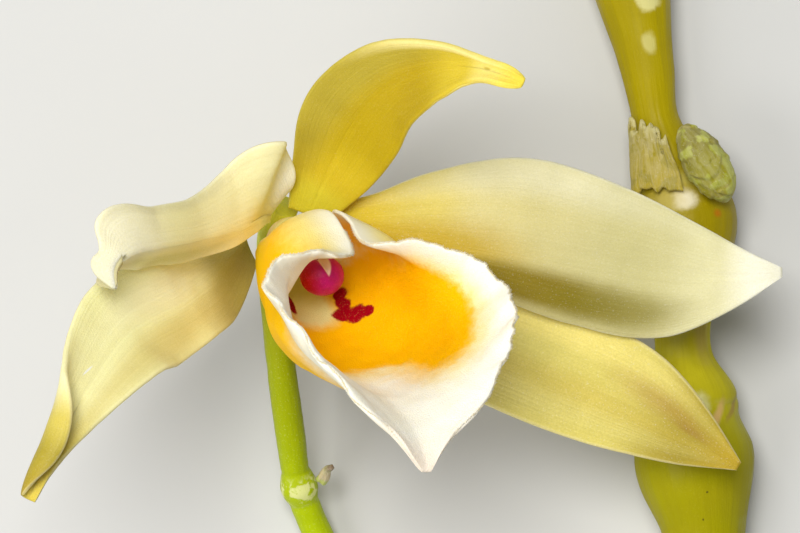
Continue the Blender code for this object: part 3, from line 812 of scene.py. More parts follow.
# %% Left petal
LEFT_PETAL_FINISH = tissue(
    "left petal tissue",
    face=[(0.0, srgb(222, 210, 70)), (0.04, srgb(255, 246, 176)), (0.15, srgb(255, 252, 206)),
          (0.35, srgb(255, 246, 192)), (0.6, srgb(238, 230, 172)), (0.85, srgb(244, 238, 206)),
          (1.0, srgb(232, 228, 200))],
    back=[(0.0, LEMON), (0.4, srgb(214, 190, 96)), (1.0, srgb(222, 212, 160))],
    patches=[
        (srgb(206, 198, 158), (0.97, 0.60), (0.08, 0.30), 0, 0.7, 0.1, 0.45),
        (srgb(248, 232, 140), (0.38, 0.42), (0.12, 0.26), 0, 0.7, 0.1, 0.5),
        # painted light: near white on the base strip that turns away from the lamps
        (srgb(255, 255, 236), (0.85, 0.07), (0.30, 0.08), 0, 0.6, 0.1, 1.0),
        (srgb(255, 244, 170), (0.20, 0.12), (0.30, 0.16), 0, 0.7, 0.1, 0.7),
        # painted shade on the lower half, which falls away from the light
        (srgb(206, 196, 100), (0.20, 0.55), (0.12, 0.22), 0, 0.7, 0.1, 0.6),
        (srgb(255, 238, 150), (0.50, 0.16), (0.12, 0.10), 0, 0.9, 0.1, 0.4),
    ],
    rim=(srgb(252, 246, 214), 0.06, 0.4), streaks=(34, 2.4, 0.06), glints=0.1, glow=0.4)
living_blade("left_petal", LEFT_PETAL, 41, LEFT_PETAL_FINISH, passes=9)

# %% [markdown]
# The lower half of the right petal turns away from the light, and we paint it dark olive there: partly the
# tissue's own olive and partly painted shade.

# %% Right petal
RIGHT_PETAL_FINISH = tissue(
    "right petal tissue",
    face=[(0.0, srgb(206, 186, 14)), (0.12, srgb(224, 200, 52)), (0.24, srgb(226, 208, 104)),
          (0.36, srgb(226, 214, 148)), (0.7, srgb(218, 210, 152)), (0.85, srgb(232, 226, 178)),
          (0.94, srgb(252, 249, 228)), (1.0, IVORY)],
    back=[(0.0, GOLD), (0.5, srgb(224, 214, 150)), (1.0, IVORY)],
    patches=[
        (srgb(204, 172, 0), (0.64, 0.26), (0.20, 0.16), 0, 0.6, 0.08, 0.85),
        # Dark olive on the lower half: partly olive tissue and partly painted shade where that half turns from
        # the light.
        (srgb(146, 126, 0), (0.80, 0.46), (0.13, 0.22), 6, 0.5, 0.08, 0.95),
        (srgb(138, 126, 24), (0.82, 0.66), (0.12, 0.13), 0, 0.7, 0.08, 0.75),
        (srgb(240, 238, 214), (0.10, 0.46), (0.12, 0.26), 0, 0.8, 0.15, 0.45),
        (srgb(198, 190, 128), (0.40, 0.68), (0.30, 0.10), 0, 0.8, 0.15, 0.35),
    ],
    rim=(srgb(246, 244, 222), 0.05, 0.6), streaks=(60, 2.0, 0.08), glints=0.12, glow=0.3)
living_blade("right_petal", RIGHT_PETAL, 59, RIGHT_PETAL_FINISH)

# %% [markdown]
# ## The lip
# The lip is the orchid's showpiece: a trumpet rolled round the column, with a milk-white margin that is cut
# into a fine fringe, an orange disc in its mouth and two dark red marks in the throat. It is one sheet, so
# its two margins are free all the way. A grid that is finer towards the margins gives room for the fringe.

# %% Tables of the lip
# Each row is a cross-section from the middle line to the margin. The left side is given where it differs.
LIP_RIGHT = [
    [(0, -3.1, -2.2), (0.9, -2.9, -2.1), (1.6, -2.4, -1.8), (1.9, -1.6, -1.2), (2.2, -0.8, -0.6)],
    [(0, -4.1, 0.0), (1.8, -3.4, 0.3), (2.8, -1.4, 1.0), (3.1, 0.2, 1.9), (2.9, 1.5, 2.8)],
    [(0, -5.0, 5.0), (3.0, -4.1, 5.2), (4.8, -1.0, 5.4), (4.0, 3.2, 5.8), (0.7, 5.4, 6.2)],
    [(0, -5.4, 9.5), (3.9, -4.4, 9.6), (6.0, -1.1, 9.4), (4.9, 3.9, 9.6), (0.5, 6.2, 10.0)],
    [(0, -5.5, 13.0), (4.5, -4.4, 12.8), (6.8, -1.2, 12.0), (5.2, 4.0, 12.6), (0.7, 5.8, 13.8)],
    [(0, -5.3, 15.6), (4.7, -4.3, 15.0), (7.3, -1.3, 13.8), (6.4, 3.2, 13.8), (4.0, 6.5, 14.6)],
    [(0, -5.0, 18.0), (4.5, -3.9, 17.3), (7.5, -1.5, 15.9), (8.0, 2.2, 15.2), (8.2, 6.2, 16.3)],
    [(0, -4.6, 20.8), (4.1, -3.5, 20.2), (7.1, -1.5, 18.9), (9.0, 1.4, 18.0), (10.8, 4.8, 18.9)],
    [(0, -4.1, 24.0), (3.2, -3.0, 23.7), (6.0, -1.2, 23.2), (8.5, 1.0, 23.0), (10.6, 3.9, 23.2)],
    [(0, -4.1, 27.4), (2.5, -3.2, 27.4), (4.7, -1.8, 27.2), (6.7, -0.2, 27.0), (8.4, 1.2, 26.8)],
    [(0, -4.7, 30.2), (1.5, -4.2, 30.2), (2.8, -3.4, 30.1), (4.0, -2.6, 30.1), (5.0, -1.8, 30.1)],
    [(0, -5.4, 31.5), (0.8, -5.1, 31.4), (1.4, -4.7, 31.3), (1.9, -4.3, 31.2), (2.4, -3.9, 31.2)],
    [(0, -6.2, 32.6), (0.12, -6.2, 32.6), (0.24, -6.2, 32.6), (0.34, -6.2, 32.6), (0.4, -6.2, 32.6)],
]
LIP_LEFT = [row[1:] for row in LIP_RIGHT]
LIP_LEFT[2:9] = [
    [(2.9, -4.1, 5.2), (4.5, -1.0, 5.4), (3.8, 3.2, 5.8), (0.7, 5.4, 6.2)],
    [(3.7, -4.4, 9.6), (5.6, -1.1, 9.4), (4.6, 3.9, 9.6), (0.6, 6.2, 10.4)],
    [(4.3, -4.6, 12.8), (6.3, -1.3, 12.0), (4.6, 4.2, 12.8), (1.3, 5.2, 15.0)],
    [(4.5, -4.5, 15.0), (6.8, -1.3, 13.8), (5.0, 4.0, 13.8), (4.2, 5.9, 15.8)],
    [(4.4, -4.1, 17.3), (7.1, -1.3, 15.9), (6.9, 3.0, 15.0), (8.2, 6.0, 16.7)],
    [(4.0, -3.6, 20.2), (7.1, -1.3, 18.9), (8.0, 1.8, 18.0), (10.8, 4.8, 18.9)],
    [(3.1, -2.8, 23.7), (5.9, -1.0, 23.2), (8.6, 1.0, 23.0), (10.6, 3.9, 23.2)],
]
LIP_SHARES = [0.0, 0.25, 0.5, 0.76, 1.0]
LIP_RIPPLES = 13
LIP_RIPPLE_HEIGHT = 0.22
LIP_SKEW = 0.3


# %% Shape of the lip
LIP_ROWS, LIP_COLUMNS = 250, 171


def lip_grid(rows, columns):
    """The rolled lip: its two margins meet over the column and then flare into the mouth."""
    sections = []
    for left, right in zip(LIP_LEFT, LIP_RIGHT):
        sections.append(np.concatenate([np.array(left, float)[::-1] * [-1, 1, 1], right]))
    sections = np.array(sections)
    count = sections.shape[1]
    t = np.linspace(0.0, 1.0, rows)
    long = curve_through(along(sections[:, count // 2]), sections.reshape(len(sections), -1), t)
    long = long.reshape(rows, count, 3).transpose(1, 0, 2).reshape(count, -1)
    even, crowded = np.linspace(-1.0, 1.0, columns), np.sin(np.linspace(-np.pi / 2, np.pi / 2, columns))
    q = 0.6 * even + 0.4 * crowded
    shares = [-s for s in LIP_SHARES[:0:-1]] + LIP_SHARES
    grid = curve_through(shares, long, q).reshape(columns, rows, 3).transpose(1, 0, 2)
    wave = np.sin(LIP_RIPPLES * 2 * np.pi * t) * np.clip((t - 0.4) * 5, 0, 1) * np.clip((1 - t) * 8, 0, 1)
    lift = LIP_RIPPLE_HEIGHT * wave[:, None] * np.abs(q)[None] ** 8
    grid = grid + lift[..., None] * grid_normals(grid)
    grid[..., 0] += LIP_SKEW * t[:, None] ** 2
    return in_flower(grid), q, t


lip_middle, q, t = lip_grid(LIP_ROWS, LIP_COLUMNS)
q, t = np.meshgrid(q, t)
print("lip grid:", lip_middle.shape[:2])

# %% [markdown]
# The margin isn't a clean line. It crinkles up and down about every millimetre, and little teeth stick out
# of it. Soft noise along the margin gives the crinkle, and a finer noise pushes the outermost rows out.

# %% Crinkle the lip and close it
outward = unit(np.gradient(lip_middle, axis=1)) * np.sign(q)[..., None]
margin_run = np.stack([t * 110, np.sign(q) * 9.0, q * 0], axis=-1)
ends = tapered(t, 10, 6)
flared = np.clip((t - 0.37) * 7, 0, 1)
crinkle = np.abs(q) ** 14 * noises(margin_run, (0.12, 3.4, 3), (0.11, 1.3, 4)) * ends * flared
teeth = np.abs(q) ** 30 * noises(margin_run, (0.13, 1.5, 5), (0.10, 0.5, 6)) * ends * flared
velvet = noises(lip_middle, (0.05, 1.4, 7), (0.09, 3.6, 8))
middle_fold = 0.10 * hill(q, 0.05) * np.clip(t * 3, 0, 1) * (1 - t)
lip_fine = lip_middle + grid_normals(lip_middle) * (crinkle + (velvet - middle_fold) * ends)[..., None]
lip_fine = lip_fine + outward * teeth[..., None]
lip = sheet_piece("lip", lip_fine, LIP_THICKNESS, face_side=1, rim=0.3, across=q)
print("lip faces:", len(lip.data.polygons))

# %% [markdown]
# ## The fringe of the lip
# Under a lens the margin carries thousands of short blunt hairs, and they catch the light as a pale fuzz.
# Each is a small cone rooted in the margin. Particles would be easy, but they don't survive an export, so
# we make them as real geometry in one mesh.

# %% Build the fringe
def cones(name, roots, tips, radii, sides):
    """Many small closed cones in one mesh."""
    axis = unit(tips - roots)
    across = unit(np.cross(axis, np.array([0.31, 0.83, 0.47])))
    over = np.cross(axis, across)
    turn = np.linspace(0.0, 2 * np.pi, sides, endpoint=False)
    ring = np.cos(turn)[None, :, None] * across[:, None] + np.sin(turn)[None, :, None] * over[:, None]
    ring = roots[:, None] + ring * radii[:, None, None]
    vertices = np.concatenate([ring, tips[:, None]], axis=1).reshape(-1, 3)
    faces = []
    for first in range(0, len(vertices), sides + 1):
        faces += [(first + j, first + (j + 1) % sides, first + sides) for j in range(sides)]
        faces.append(tuple(first + j for j in range(sides - 1, -1, -1)))
    blank = np.zeros(len(vertices))
    return piece(name, vertices, faces, blank, blank)


FRINGE_COUNT = 6500
FRINGE_FROM, FRINGE_TO = 0.36, 0.985
HAIR_LENGTHS, HAIR_RADII = (0.08, 0.30), (0.025, 0.045)
HAIR_SPREAD = 0.40
HAIR_ROOT = 0.08
HAIR_SIDES = 4

random = np.random.default_rng(7)
rows = random.uniform(FRINGE_FROM, FRINGE_TO, FRINGE_COUNT) * (LIP_ROWS - 1)
columns = np.where(random.random(FRINGE_COUNT) < 0.5, 0, LIP_COLUMNS - 1)
low, share = rows.astype(int), (rows % 1)[:, None]
roots = lip_fine[low, columns] * (1 - share) + lip_fine[np.minimum(low + 1, LIP_ROWS - 1), columns] * share
away = outward[low, columns] + random.normal(0, HAIR_SPREAD, (FRINGE_COUNT, 3))
lengths = random.uniform(*HAIR_LENGTHS, FRINGE_COUNT) * np.clip((1 - t[low, 0]) * 8, 0.3, 1)
roots = roots - outward[low, columns] * HAIR_ROOT
tips = roots + unit(away) * (lengths + HAIR_ROOT)[:, None]
radii = random.uniform(*HAIR_RADII, FRINGE_COUNT)
fringe = cones("lip_fringe", roots, tips, radii, HAIR_SIDES)
print("fringe hairs:", FRINGE_COUNT)

# %% [markdown]
# ## Finish of the lip
# Both faces of the lip are velvety. Inside, the disc is amber and deeper orange at its heart; the deeper
# orange is partly its own colour and partly painted shade where the wall turns from the light. The throat
# fades to a pale greenish yellow, painted paler still as painted light deep in the tube, and two crimson
# marks flank the middle. Outside, the tube is golden and turns to ivory towards its rim. The marks are
# pigment in single cells, so their edges are very ragged: we build the larger one from a few overlapping
# blots. Small glints laid into the colour are painted highlights.

# %% Paint the lip
def lip_finish():
    """Both faces of the lip, with a milk-white margin all round."""
    material, tree, shader = new_material("lip tissue", gloss=0.06, glow=0.2, depth=0.25)
    where = coordinates(tree)
    inside = blots(tree, MILK, where, [
        (srgb(255, 230, 130), (0.775, 0.555), (0.18, 0.22), 0, 0.3, 0.16, 0.85),
        (srgb(255, 230, 130), (0.575, 0.33), (0.325, 0.265), 0, 0.3, 0.16, 0.85),
        (AMBER, (0.775, 0.56), (0.143, 0.172), 0, 0.13, 0.16, 1.0),
        (AMBER, (0.67, 0.48), (0.10, 0.12), 0, 0.13, 0.16, 1.0),
        (AMBER, (0.575, 0.33), (0.28, 0.22), 0, 0.13, 0.16, 1.0),
        # deeper orange: partly the disc's own colour and partly painted shade where its wall turns from the
        # light
        (srgb(255, 190, 0), (0.80, 0.36), (0.13, 0.16), 0, 0.8, 0.2, 0.7),
        (srgb(255, 184, 0), (0.74, 0.66), (0.12, 0.07), 0, 0.8, 0.2, 0.6),
        # the pale throat: its own pale colour, painted paler still as painted light deep in the tube
        (srgb(255, 252, 184), (0.535, 0.165), (0.09, 0.125), 0, 0.25, 0.15, 1.0),
        (srgb(236, 236, 110), (0.5, 0.06), (0.2, 0.12), 0, 0.6, 0.15, 0.85),
        (CRIMSON, (0.670, 0.206), (0.024, 0.018), 0, 0.2, 0.5, 1.0),
        (CRIMSON, (0.652, 0.234), (0.023, 0.024), 0, 0.2, 0.5, 1.0),
        (CRIMSON, (0.624, 0.264), (0.033, 0.027), 0, 0.2, 0.5, 1.0),
        (CRIMSON, (0.650, 0.290), (0.035, 0.026), 0, 0.2, 0.5, 1.0),
        (CRIMSON, (0.683, 0.306), (0.019, 0.017), 0, 0.2, 0.9, 1.0),
        (CRIMSON, (0.480, 0.185), (0.014, 0.046), 10, 0.25, 0.45, 1.0),
        (AMBER, (0.92, 0.18), (0.08, 0.08), 0, 0.4, 0.15, 0.9),
    ])
    outside = blots(tree, AMBER, where, [
        (srgb(255, 206, 0), (0.5, 0.12), (1.2, 0.14), 0, 0.6, 0.1, 0.8),
        (srgb(255, 236, 146), (0.0, 0.3), (0.11, 0.3), 0, 0.5, 0.25, 1.0),
        (srgb(255, 236, 146), (1.0, 0.3), (0.11, 0.3), 0, 0.5, 0.25, 1.0),
        (IVORY, (0.5, 1.0), (1.2, 0.30), 0, 0.25, 0.12, 1.0),
    ])
    cells, clouds = cells_at(tree, where, 0.13), clouds_at(tree, where, 2.4)
    colour = lay(tree, mix(tree, on_face(tree), outside, inside), [
        (margin_at(tree, where, 0.16), fade(tree, where[1], 0.12, 0.28, 0.2, 0.92), MILK),
        (fade(tree, where[1], 0.88, 1.0), 0.5, srgb(232, 208, 190)),
        (clouds, 0.14, srgb(250, 232, 190), "MULTIPLY"),
        (cells["Speckle"], 0.08, srgb(250, 226, 170), "MULTIPLY"),
        # painted highlights: small glints laid into the colour
        (cells["Glints"], 0.14, srgb(255, 232, 130)),
    ])
    relief = calc(tree, "ADD", cells["Domes"], times(tree, clouds, 0.8))
    surface(tree, shader, colour, cells["Speckle"], (0.5, 0.72), relief, strength=0.5, height=0.08)
    return material


def fringe_finish():
    """Pale hairs, a little uneven in tint."""
    material, tree, shader = new_material("lip fringe hairs", gloss=0.35, glow=0.4, depth=0.4)
    clouds = clouds_at(tree, coordinates(tree), 0.6)
    colour = mix(tree, clouds, IVORY, srgb(250, 232, 180))
    surface(tree, shader, colour, clouds, (0.45, 0.65), clouds, strength=0.3, height=0.03)
    return material


dress(lip, lip_finish())
dress(fringe, fringe_finish())
print("painted:", lip.name, "and", fringe.name)

# %% [markdown]
# ## The column and its anther cap
# Inside the tube stands the column, a fleshy green-yellow finger. It ends in the anther cap, a glossy
# magenta lid of two lobes with a pale notch between them. The column is a row of rings; the cap is a ball
# of rings whose groove is pressed in, and it is small, so it gets a fine grid for a clean highlight.

# %% Build the column and the cap
COLUMN = [
    (0, -1.7, -1.5, 1.0),
    (0, -0.6, -0.6, 1.6),
    (0, 0.4, 1.0, 1.9),
    (0, 0.8, 3.4, 1.9),
    (0, 0.3, 5.9, 1.7),
]
COLUMN_ROWS, COLUMN_SIDES = 90, 64
CAP_CENTRE = (0.0, 0.1, 8.0)
CAP_RADII = (1.95, 1.75, 1.65)
CAP_GROOVE = 0.47
CAP_GROOVE_TURN = math.radians(98)
CAP_ROWS, CAP_SIDES = 64, 96


def column_swell(t, turn, points):
    """Slightly uneven flesh."""
    return noises(points, (0.05, 0.9, 31), (0.02, 0.3, 32))


def cap_rings(rows, sides):
    """A rounded cap with a groove down its upper middle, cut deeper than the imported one."""
    polar = np.pi * (np.arange(rows) + 0.6) / (rows + 0.2)
    turn = np.linspace(0.0, 2 * np.pi, sides, endpoint=False)
    groove = 1 - CAP_GROOVE * hill(turn - CAP_GROOVE_TURN, 0.22)[None] * (np.sin(polar) ** 2)[:, None]
    flat = np.stack([np.cos(turn)[None] * groove, np.sin(turn)[None] * groove, groove * 0], axis=-1)
    ball = flat * np.sin(polar)[:, None, None] + np.array([0, 0, 1.0]) * -np.cos(polar)[:, None, None]
    points = np.array(CAP_CENTRE) + ball * CAP_RADII
    lobes = noises(points, (0.05, 0.9, 5), (0.02, 0.3, 6))
    return in_flower(points + ball * lobes[..., None]), groove


column_stations = np.array(COLUMN, float)
column_stations[:, :3] = in_flower(column_stations[:, :3])
column_rings = rings_along(column_stations, COLUMN_ROWS, COLUMN_SIDES, column_swell)
column = rings_piece("column", column_rings)
lid_rings, groove = cap_rings(CAP_ROWS, CAP_SIDES)
cap = rings_piece("anther_cap", lid_rings)
paint(cap, "notch", ring_values(1 - groove))
print("cap faces:", len(cap.data.polygons))

# %% Paint the column and the cap
def column_finish():
    """Golden at its foot, greenish in its middle and stained red under the cap."""
    material, tree, shader = new_material("column flesh", gloss=0.5, glow=0.3, depth=0.8)
    where = coordinates(tree)
    stops = [(0.0, srgb(255, 200, 40)), (0.3, srgb(250, 206, 50)), (0.55, srgb(214, 206, 90)),
             (0.9, srgb(232, 214, 120)), (1.0, CRIMSON)]
    cells = cells_at(tree, where, 0.14)
    colour = lay(tree, ramp(tree, where[1], stops), [(clouds_at(tree, where, 0.9), 0.2, OLIVE)])
    surface(tree, shader, colour, cells["Speckle"], (0.3, 0.5), cells["Domes"], strength=0.4, height=0.05)
    return material


def cap_finish():
    """Magenta with wine-red clouds, a red heart and a pale notch."""
    material, tree, shader = new_material("anther cap lacquer", gloss=0.3, glow=0.1, depth=0.3)
    where = coordinates(tree)
    cells = cells_at(tree, where, 0.11)
    colour = lay(tree, MAGENTA, [(clouds_at(tree, where, 0.8), 0.7, WINE)])
    colour = blots(tree, colour, where, [
        (srgb(188, 6, 10), (0.53, 0.62), (0.13, 0.20), 0, 0.7, 0.1, 0.95),
        (srgb(232, 60, 130), (0.12, 0.60), (0.10, 0.16), 0, 0.9, 0.2, 0.5),
    ])
    colour = lay(tree, colour, [
        # painted highlights: pink glints laid into the colour
        (cells["Glints"], 0.4, srgb(236, 80, 150)),
        (fade(tree, painted(tree, "notch"), 0.05, 0.14), 1.0, BLUSH),
    ])
    surface(tree, shader, colour, cells["Speckle"], (0.34, 0.55), cells["Domes"], strength=0.35, height=0.05)
    return material


dress(column, column_finish())
dress(cap, cap_finish())
print("painted:", column.name, "and", cap.name)

# %% [markdown]
# ## The flower stalk and its bract
# The stalk is a smooth green rod, brighter below and more olive under the flower. A third of the way down
# it has a joint: a slight collar, whitish and flecked, where a small dry bract stands off like a thorn.
# Rings along a curve make the rod, and a swelling function adds the collar.

# %% Build the stalk and the bract
FLOWER_STALK = [
    (-10.2, 5.3, 17.3, 1.3),
    (-11.2, 3.0, 14.9, 1.4),
    (-11.3, -0.6, 13.2, 1.35),
    (-11.1, -3.9, 12.4, 1.3),
    (-10.6, -9.3, 10.4, 1.3),
    (-9.9, -15.1, 7.3, 1.35),
    (-9.4, -19.0, 5.0, 1.4),
    (-9.2, -19.9, 4.5, 1.62),
    (-8.8, -21.2, 3.8, 1.4),
    (-7.6, -24.2, 2.5, 1.35),
    (-4.4, -29.8, 1.3, 1.4),
    (1.4, -35.6, 1.3, 1.4),
    (9.1, -39.1, 2.2, 1.4),
    (17.3, -39.9, 3.6, 1.5),
    (22.6, -39.2, 4.4, 1.8),
]
STALK_BRACT = [
    (-7.15, -19.5, 5.3, 0.5, 0.5, 0, 0, 40, 40, 0),
    (-6.85, -19.0, 6.0, 0.45, 0.45, 0, 0, 40, 40, 0),
    (-6.6, -18.4, 6.7, 0.3, 0.3, 0, 0, 30, 30, 0),
    (-6.1, -18.1, 7.4, 0.15, 0.15, 0, 0, 10, 10, 0),
]
STALK_JOINT = np.array([-9.2, -19.9, 4.5])
STALK_ROWS, STALK_SIDES = 380, 72
COLLAR_AWAY, GROOVE_AWAY = 1.55, 2.2
BRACT_ROWS, BRACT_COLUMNS = 50, 25


def stalk_swell(t, turn, points):
    """A collar at the joint, with a fine groove beside it, and slight unevenness elsewhere."""
    away = np.linalg.norm(points - STALK_JOINT, axis=-1)
    collar = 0.10 * hill(away - COLLAR_AWAY, 0.35) - 0.07 * hill(away - GROOVE_AWAY, 0.25)
    return collar + noises(points, (0.03, 1.5, 61), (0.012, 0.4, 62))


stalk_rings = rings_along(FLOWER_STALK, STALK_ROWS, STALK_SIDES, stalk_swell)
stalk = rings_piece("flower_stalk", stalk_rings)
from_joint = np.linalg.norm(stalk_rings.mean(axis=1) - STALK_JOINT, axis=-1)
paint(stalk, "joint", ring_values(np.repeat(hill(from_joint, 1.5)[:, None], STALK_SIDES, axis=1)))
bract_grid = blade_grid(STALK_BRACT, BRACT_ROWS, BRACT_COLUMNS)
bract_grid = bract_grid + grid_normals(bract_grid) * noises(bract_grid, (0.05, 0.5, 71))[..., None]
bract = sheet_piece("stalk_bract", bract_grid, SHEATH_THICKNESS, face_side=-1, rim=0.2)
print("stalk faces:", len(stalk.data.polygons), "and bract faces:", len(bract.data.polygons))

# %% Paint the stalk and the bract
def stalk_finish():
    """Fresh green skin with fine lines, and a pale flecked collar at the joint."""
    material, tree, shader = new_material("stalk skin", gloss=0.16, glow=0.25, depth=0.6)
    where = coordinates(tree)
    # The pale yellow-green at the top end is partly the colour of the flower's base and partly painted light
    # where the flower shades the stalk.
    stops = [(0.0, srgb(226, 222, 60)), (0.05, srgb(206, 206, 40)), (0.14, srgb(150, 152, 0)),
             (0.26, srgb(160, 170, 0)), (0.45, srgb(174, 192, 2)), (1.0, srgb(160, 172, 10))]
    cells, lines = cells_at(tree, where, 0.18), streaks_at(tree, where, 30.0, 20.0)
    flecks = fade(tree, clouds_at(tree, where, 0.7), 0.35, 0.8)
    collar = times(tree, fade(tree, painted(tree, "joint"), 0.25, 0.8), flecks)
    colour = lay(tree, ramp(tree, where[1], stops), [
        (lines, 0.14, srgb(130, 146, 0)),
        (collar, 0.75, srgb(226, 226, 160)),
        # painted highlights: small glints laid into the colour
        (cells["Glints"], 0.15, srgb(236, 240, 160)),
    ])
    relief = calc(tree, "ADD", cells["Domes"], lines)
    surface(tree, shader, colour, cells["Speckle"], (0.32, 0.46), relief, strength=0.35, height=0.06)
    return material


def papery_finish(name, stops, shade, pale):
    """Dry tissue: its own run of colours, clouded with a shade, under pale fibres."""
    material, tree, shader = new_material(name, gloss=0.3, glow=0.3, depth=0.4)
    where = coordinates(tree)
    fibres, clouds = streaks_at(tree, where, 26.0, 5.0), clouds_at(tree, where, 1.6)
    colour = lay(tree, ramp(tree, where[1], stops), [
        (fade(tree, clouds, 0.45, 0.75), 1.0, shade),
        (fibres, pale, PAPER),
        # painted highlights: small white glints laid into the colour
        (cells_at(tree, where, 0.2)["Glints"], 0.12, WHITE),
    ])
    relief = calc(tree, "ADD", fibres, times(tree, clouds, 0.8))
    surface(tree, shader, colour, fibres, (0.45, 0.75), relief, strength=0.5, height=0.1)
    return material


BRACT_STOPS = [(0.0, LEAF), (0.5, srgb(190, 186, 110)), (1.0, BARK)]
dress(stalk, stalk_finish())
dress(bract, papery_finish("bract tissue", BRACT_STOPS, srgb(200, 180, 130), 0.4))
print("painted:", stalk.name, "and", bract.name)

# %% [markdown]
# ## The cane
# Beside the flower lies the old cane: leafless joints like beads, thin between and fat below each joint.
# Its skin is a dull golden green with fine lengthwise wrinkles. At every joint there is a scar ring where
# a leaf sheath once sat, with papery scraps still holding on. The wrinkles and the rings are real shape.

# %% Build the cane
CANE = [
    (27.8, -48.5, 4.1, 4.0),
    (27.6, -43.5, 4.6, 4.9),
    (27.5, -39.4, 4.2, 3.9),
    (27.6, -38.4, 4.2, 4.0),
    (27.7, -34.9, 4.2, 2.7),
    (27.8, -29.4, 4.4, 3.1),
    (27.6, -24.0, 4.7, 3.9),
    (26.6, -16.6, 5.2, 5.5),
    (26.3, -13.2, 5.0, 4.4),
    (26.2, -12.3, 5.0, 4.5),
    (25.7, -8.0, 5.0, 2.7),
    (25.6, -1.2, 5.0, 3.6),
    (25.8, 4.7, 4.5, 4.8),
    (25.2, 7.6, 4.6, 3.9),
    (25.0, 8.4, 4.6, 3.8),
    (24.3, 10.0, 4.7, 2.95),
    (23.3, 12.9, 4.8, 2.25),
    (22.5, 17.8, 4.8, 2.5),
    (21.3, 24.2, 4.5, 3.4),
    (20.4, 29.7, 4.2, 4.3),
    (19.8, 32.4, 4.3, 3.6),
    (19.2, 36.5, 4.4, 1.9),
    (18.5, 42.6, 4.2, 2.5),
    (18.2, 46.4, 4.2, 2.9),
    (17.9, 48.6, 4.4, 2.2),
    (17.6, 51.6, 4.8, 1.3),
    (17.4, 54.0, 5.3, 0.5),
]
CANE_ROWS, CANE_SIDES = 620, 128
SCARS = [(-39.0, 0.9), (-12.8, 0.9), (8.0, 0.8), (30.6, 0.7)]
SCAR_HEIGHT = 0.10
SKIN_INSET = 0.08


def cane_swell(t, turn, points):
    """Lengthwise wrinkles, scar rings at the joints, and slow unevenness."""
    skin = np.stack([turn * 5.2 + t * 0, t * 26 + turn * 0, t * 0 + turn * 0], axis=-1)
    total = noises(skin, (0.035, 1.0, 81)) + noises(skin * [2.6, 1.4, 1], (0.015, 1.0, 82))
    total = total + noises(points, (0.07, 3.5, 83))
    for scar, width in SCARS:
        away = points[..., 1] - scar - noises(points * [1, 0, 1], (0.35, 2.5, 84))
        total = total + SCAR_HEIGHT * (hill(away, 0.45) - hill(away - 0.75, 0.25))
    return total - SKIN_INSET


cane_rings = rings_along(CANE, CANE_ROWS, CANE_SIDES, cane_swell)
cane = rings_piece("cane", cane_rings)
scar_mask = sum(hill(cane_rings[..., 1] - scar, width) for scar, width in SCARS)
paint(cane, "scar", ring_values(np.clip(scar_mask, 0, 1)))
print("cane faces:", len(cane.data.polygons))

# %% Paint the cane
def cane_finish():
    """Dull golden green, wrinkled and mottled, with papery scraps at the scars and a few dark specks."""
    material, tree, shader = new_material("cane skin", gloss=0.12, glow=0.15, depth=0.6)
    where = coordinates(tree)
    stops = [(0.0, srgb(150, 146, 0)), (0.3, srgb(158, 152, 0)), (0.40, srgb(200, 190, 30)),
             (0.45, srgb(204, 190, 40)), (0.5, srgb(158, 140, 0)), (0.62, srgb(172, 154, 0)),
             (1.0, srgb(166, 150, 0))]
    lines, clouds = streaks_at(tree, where, 40.0, 12.0), clouds_at(tree, where, 4.0)
    cells = cells_at(tree, where, 0.2)
    scraps = times(tree, fade(tree, clouds, 0.35, 0.75), fade(tree, painted(tree, "scar"), 0.2, 0.9))
    colour = lay(tree, ramp(tree, where[1], stops), [
        (clouds, 0.25, CANE_DEEP),
        (lines, 0.12, srgb(128, 118, 0)),
        (scraps, 0.5, srgb(196, 184, 96)),
    ])
    colour = blots(tree, colour, where, [
        (srgb(226, 220, 150), (0.806, 0.703), (0.055, 0.0080), 0, 0.35, 0.5, 0.8),
        (srgb(214, 206, 130), (0.777, 0.668), (0.036, 0.0085), 0, 0.4, 0.4, 0.7),
        (srgb(255, 250, 236), (0.750, 0.530), (0.036, 0.0075), 0, 0.6, 0.5, 0.95),
        (srgb(206, 190, 110), (0.700, 0.531), (0.080, 0.0110), 0, 0.7, 0.6, 0.6),
        (srgb(190, 104, 10), (0.852, 0.513), (0.012, 0.0030), 0, 0.8, 0.3, 0.7),
        (srgb(190, 186, 110), (0.770, 0.430), (0.110, 0.0180), 10, 0.8, 0.5, 0.55),
        (srgb(176, 152, 84), (0.860, 0.412), (0.050, 0.0220), 0, 0.7, 0.4, 0.6),
        (srgb(226, 224, 176), (0.762, 0.349), (0.040, 0.0085), 0, 0.7, 0.5, 0.8),
        (srgb(206, 168, 110), (0.835, 0.337), (0.030, 0.0060), 20, 0.7, 0.4, 0.8),
        (srgb(150, 118, 60), (0.915, 0.342), (0.050, 0.0032), 12, 0.7, 0.3, 0.7),
        (SOOT, (0.764, 0.277), (0.0032, 0.0008), 0, 0.5, 0.3, 0.8),
        (SOOT, (0.742, 0.253), (0.0028, 0.0010), 0, 0.5, 0.3, 0.8),
    ])
    # painted highlights: small glints laid into the colour
    colour = lay(tree, colour, [(cells["Glints"], 0.08, srgb(216, 206, 90))])
    relief = calc(tree, "ADD", calc(tree, "ADD", lines, times(tree, cells["Domes"], 0.4)), scraps)
    surface(tree, shader, colour, clouds, (0.4, 0.55), relief, strength=0.3, height=0.08)
    return material


dress(cane, cane_finish())
print("painted:", cane.name)

# %% [markdown]
# ## The torn sheath and the side bud
# Over the upper joint a scrap of dry leaf sheath still clings, torn along its top, worn along its foot and
# mottled green and straw. Beside it a small side bud sits in overlapping scales. The sheath is a curved sheet
# whose upper and lower rows are moved by a ragged line, and the scales are steps in the swelling of the bud,
# each with a pointed upper edge.

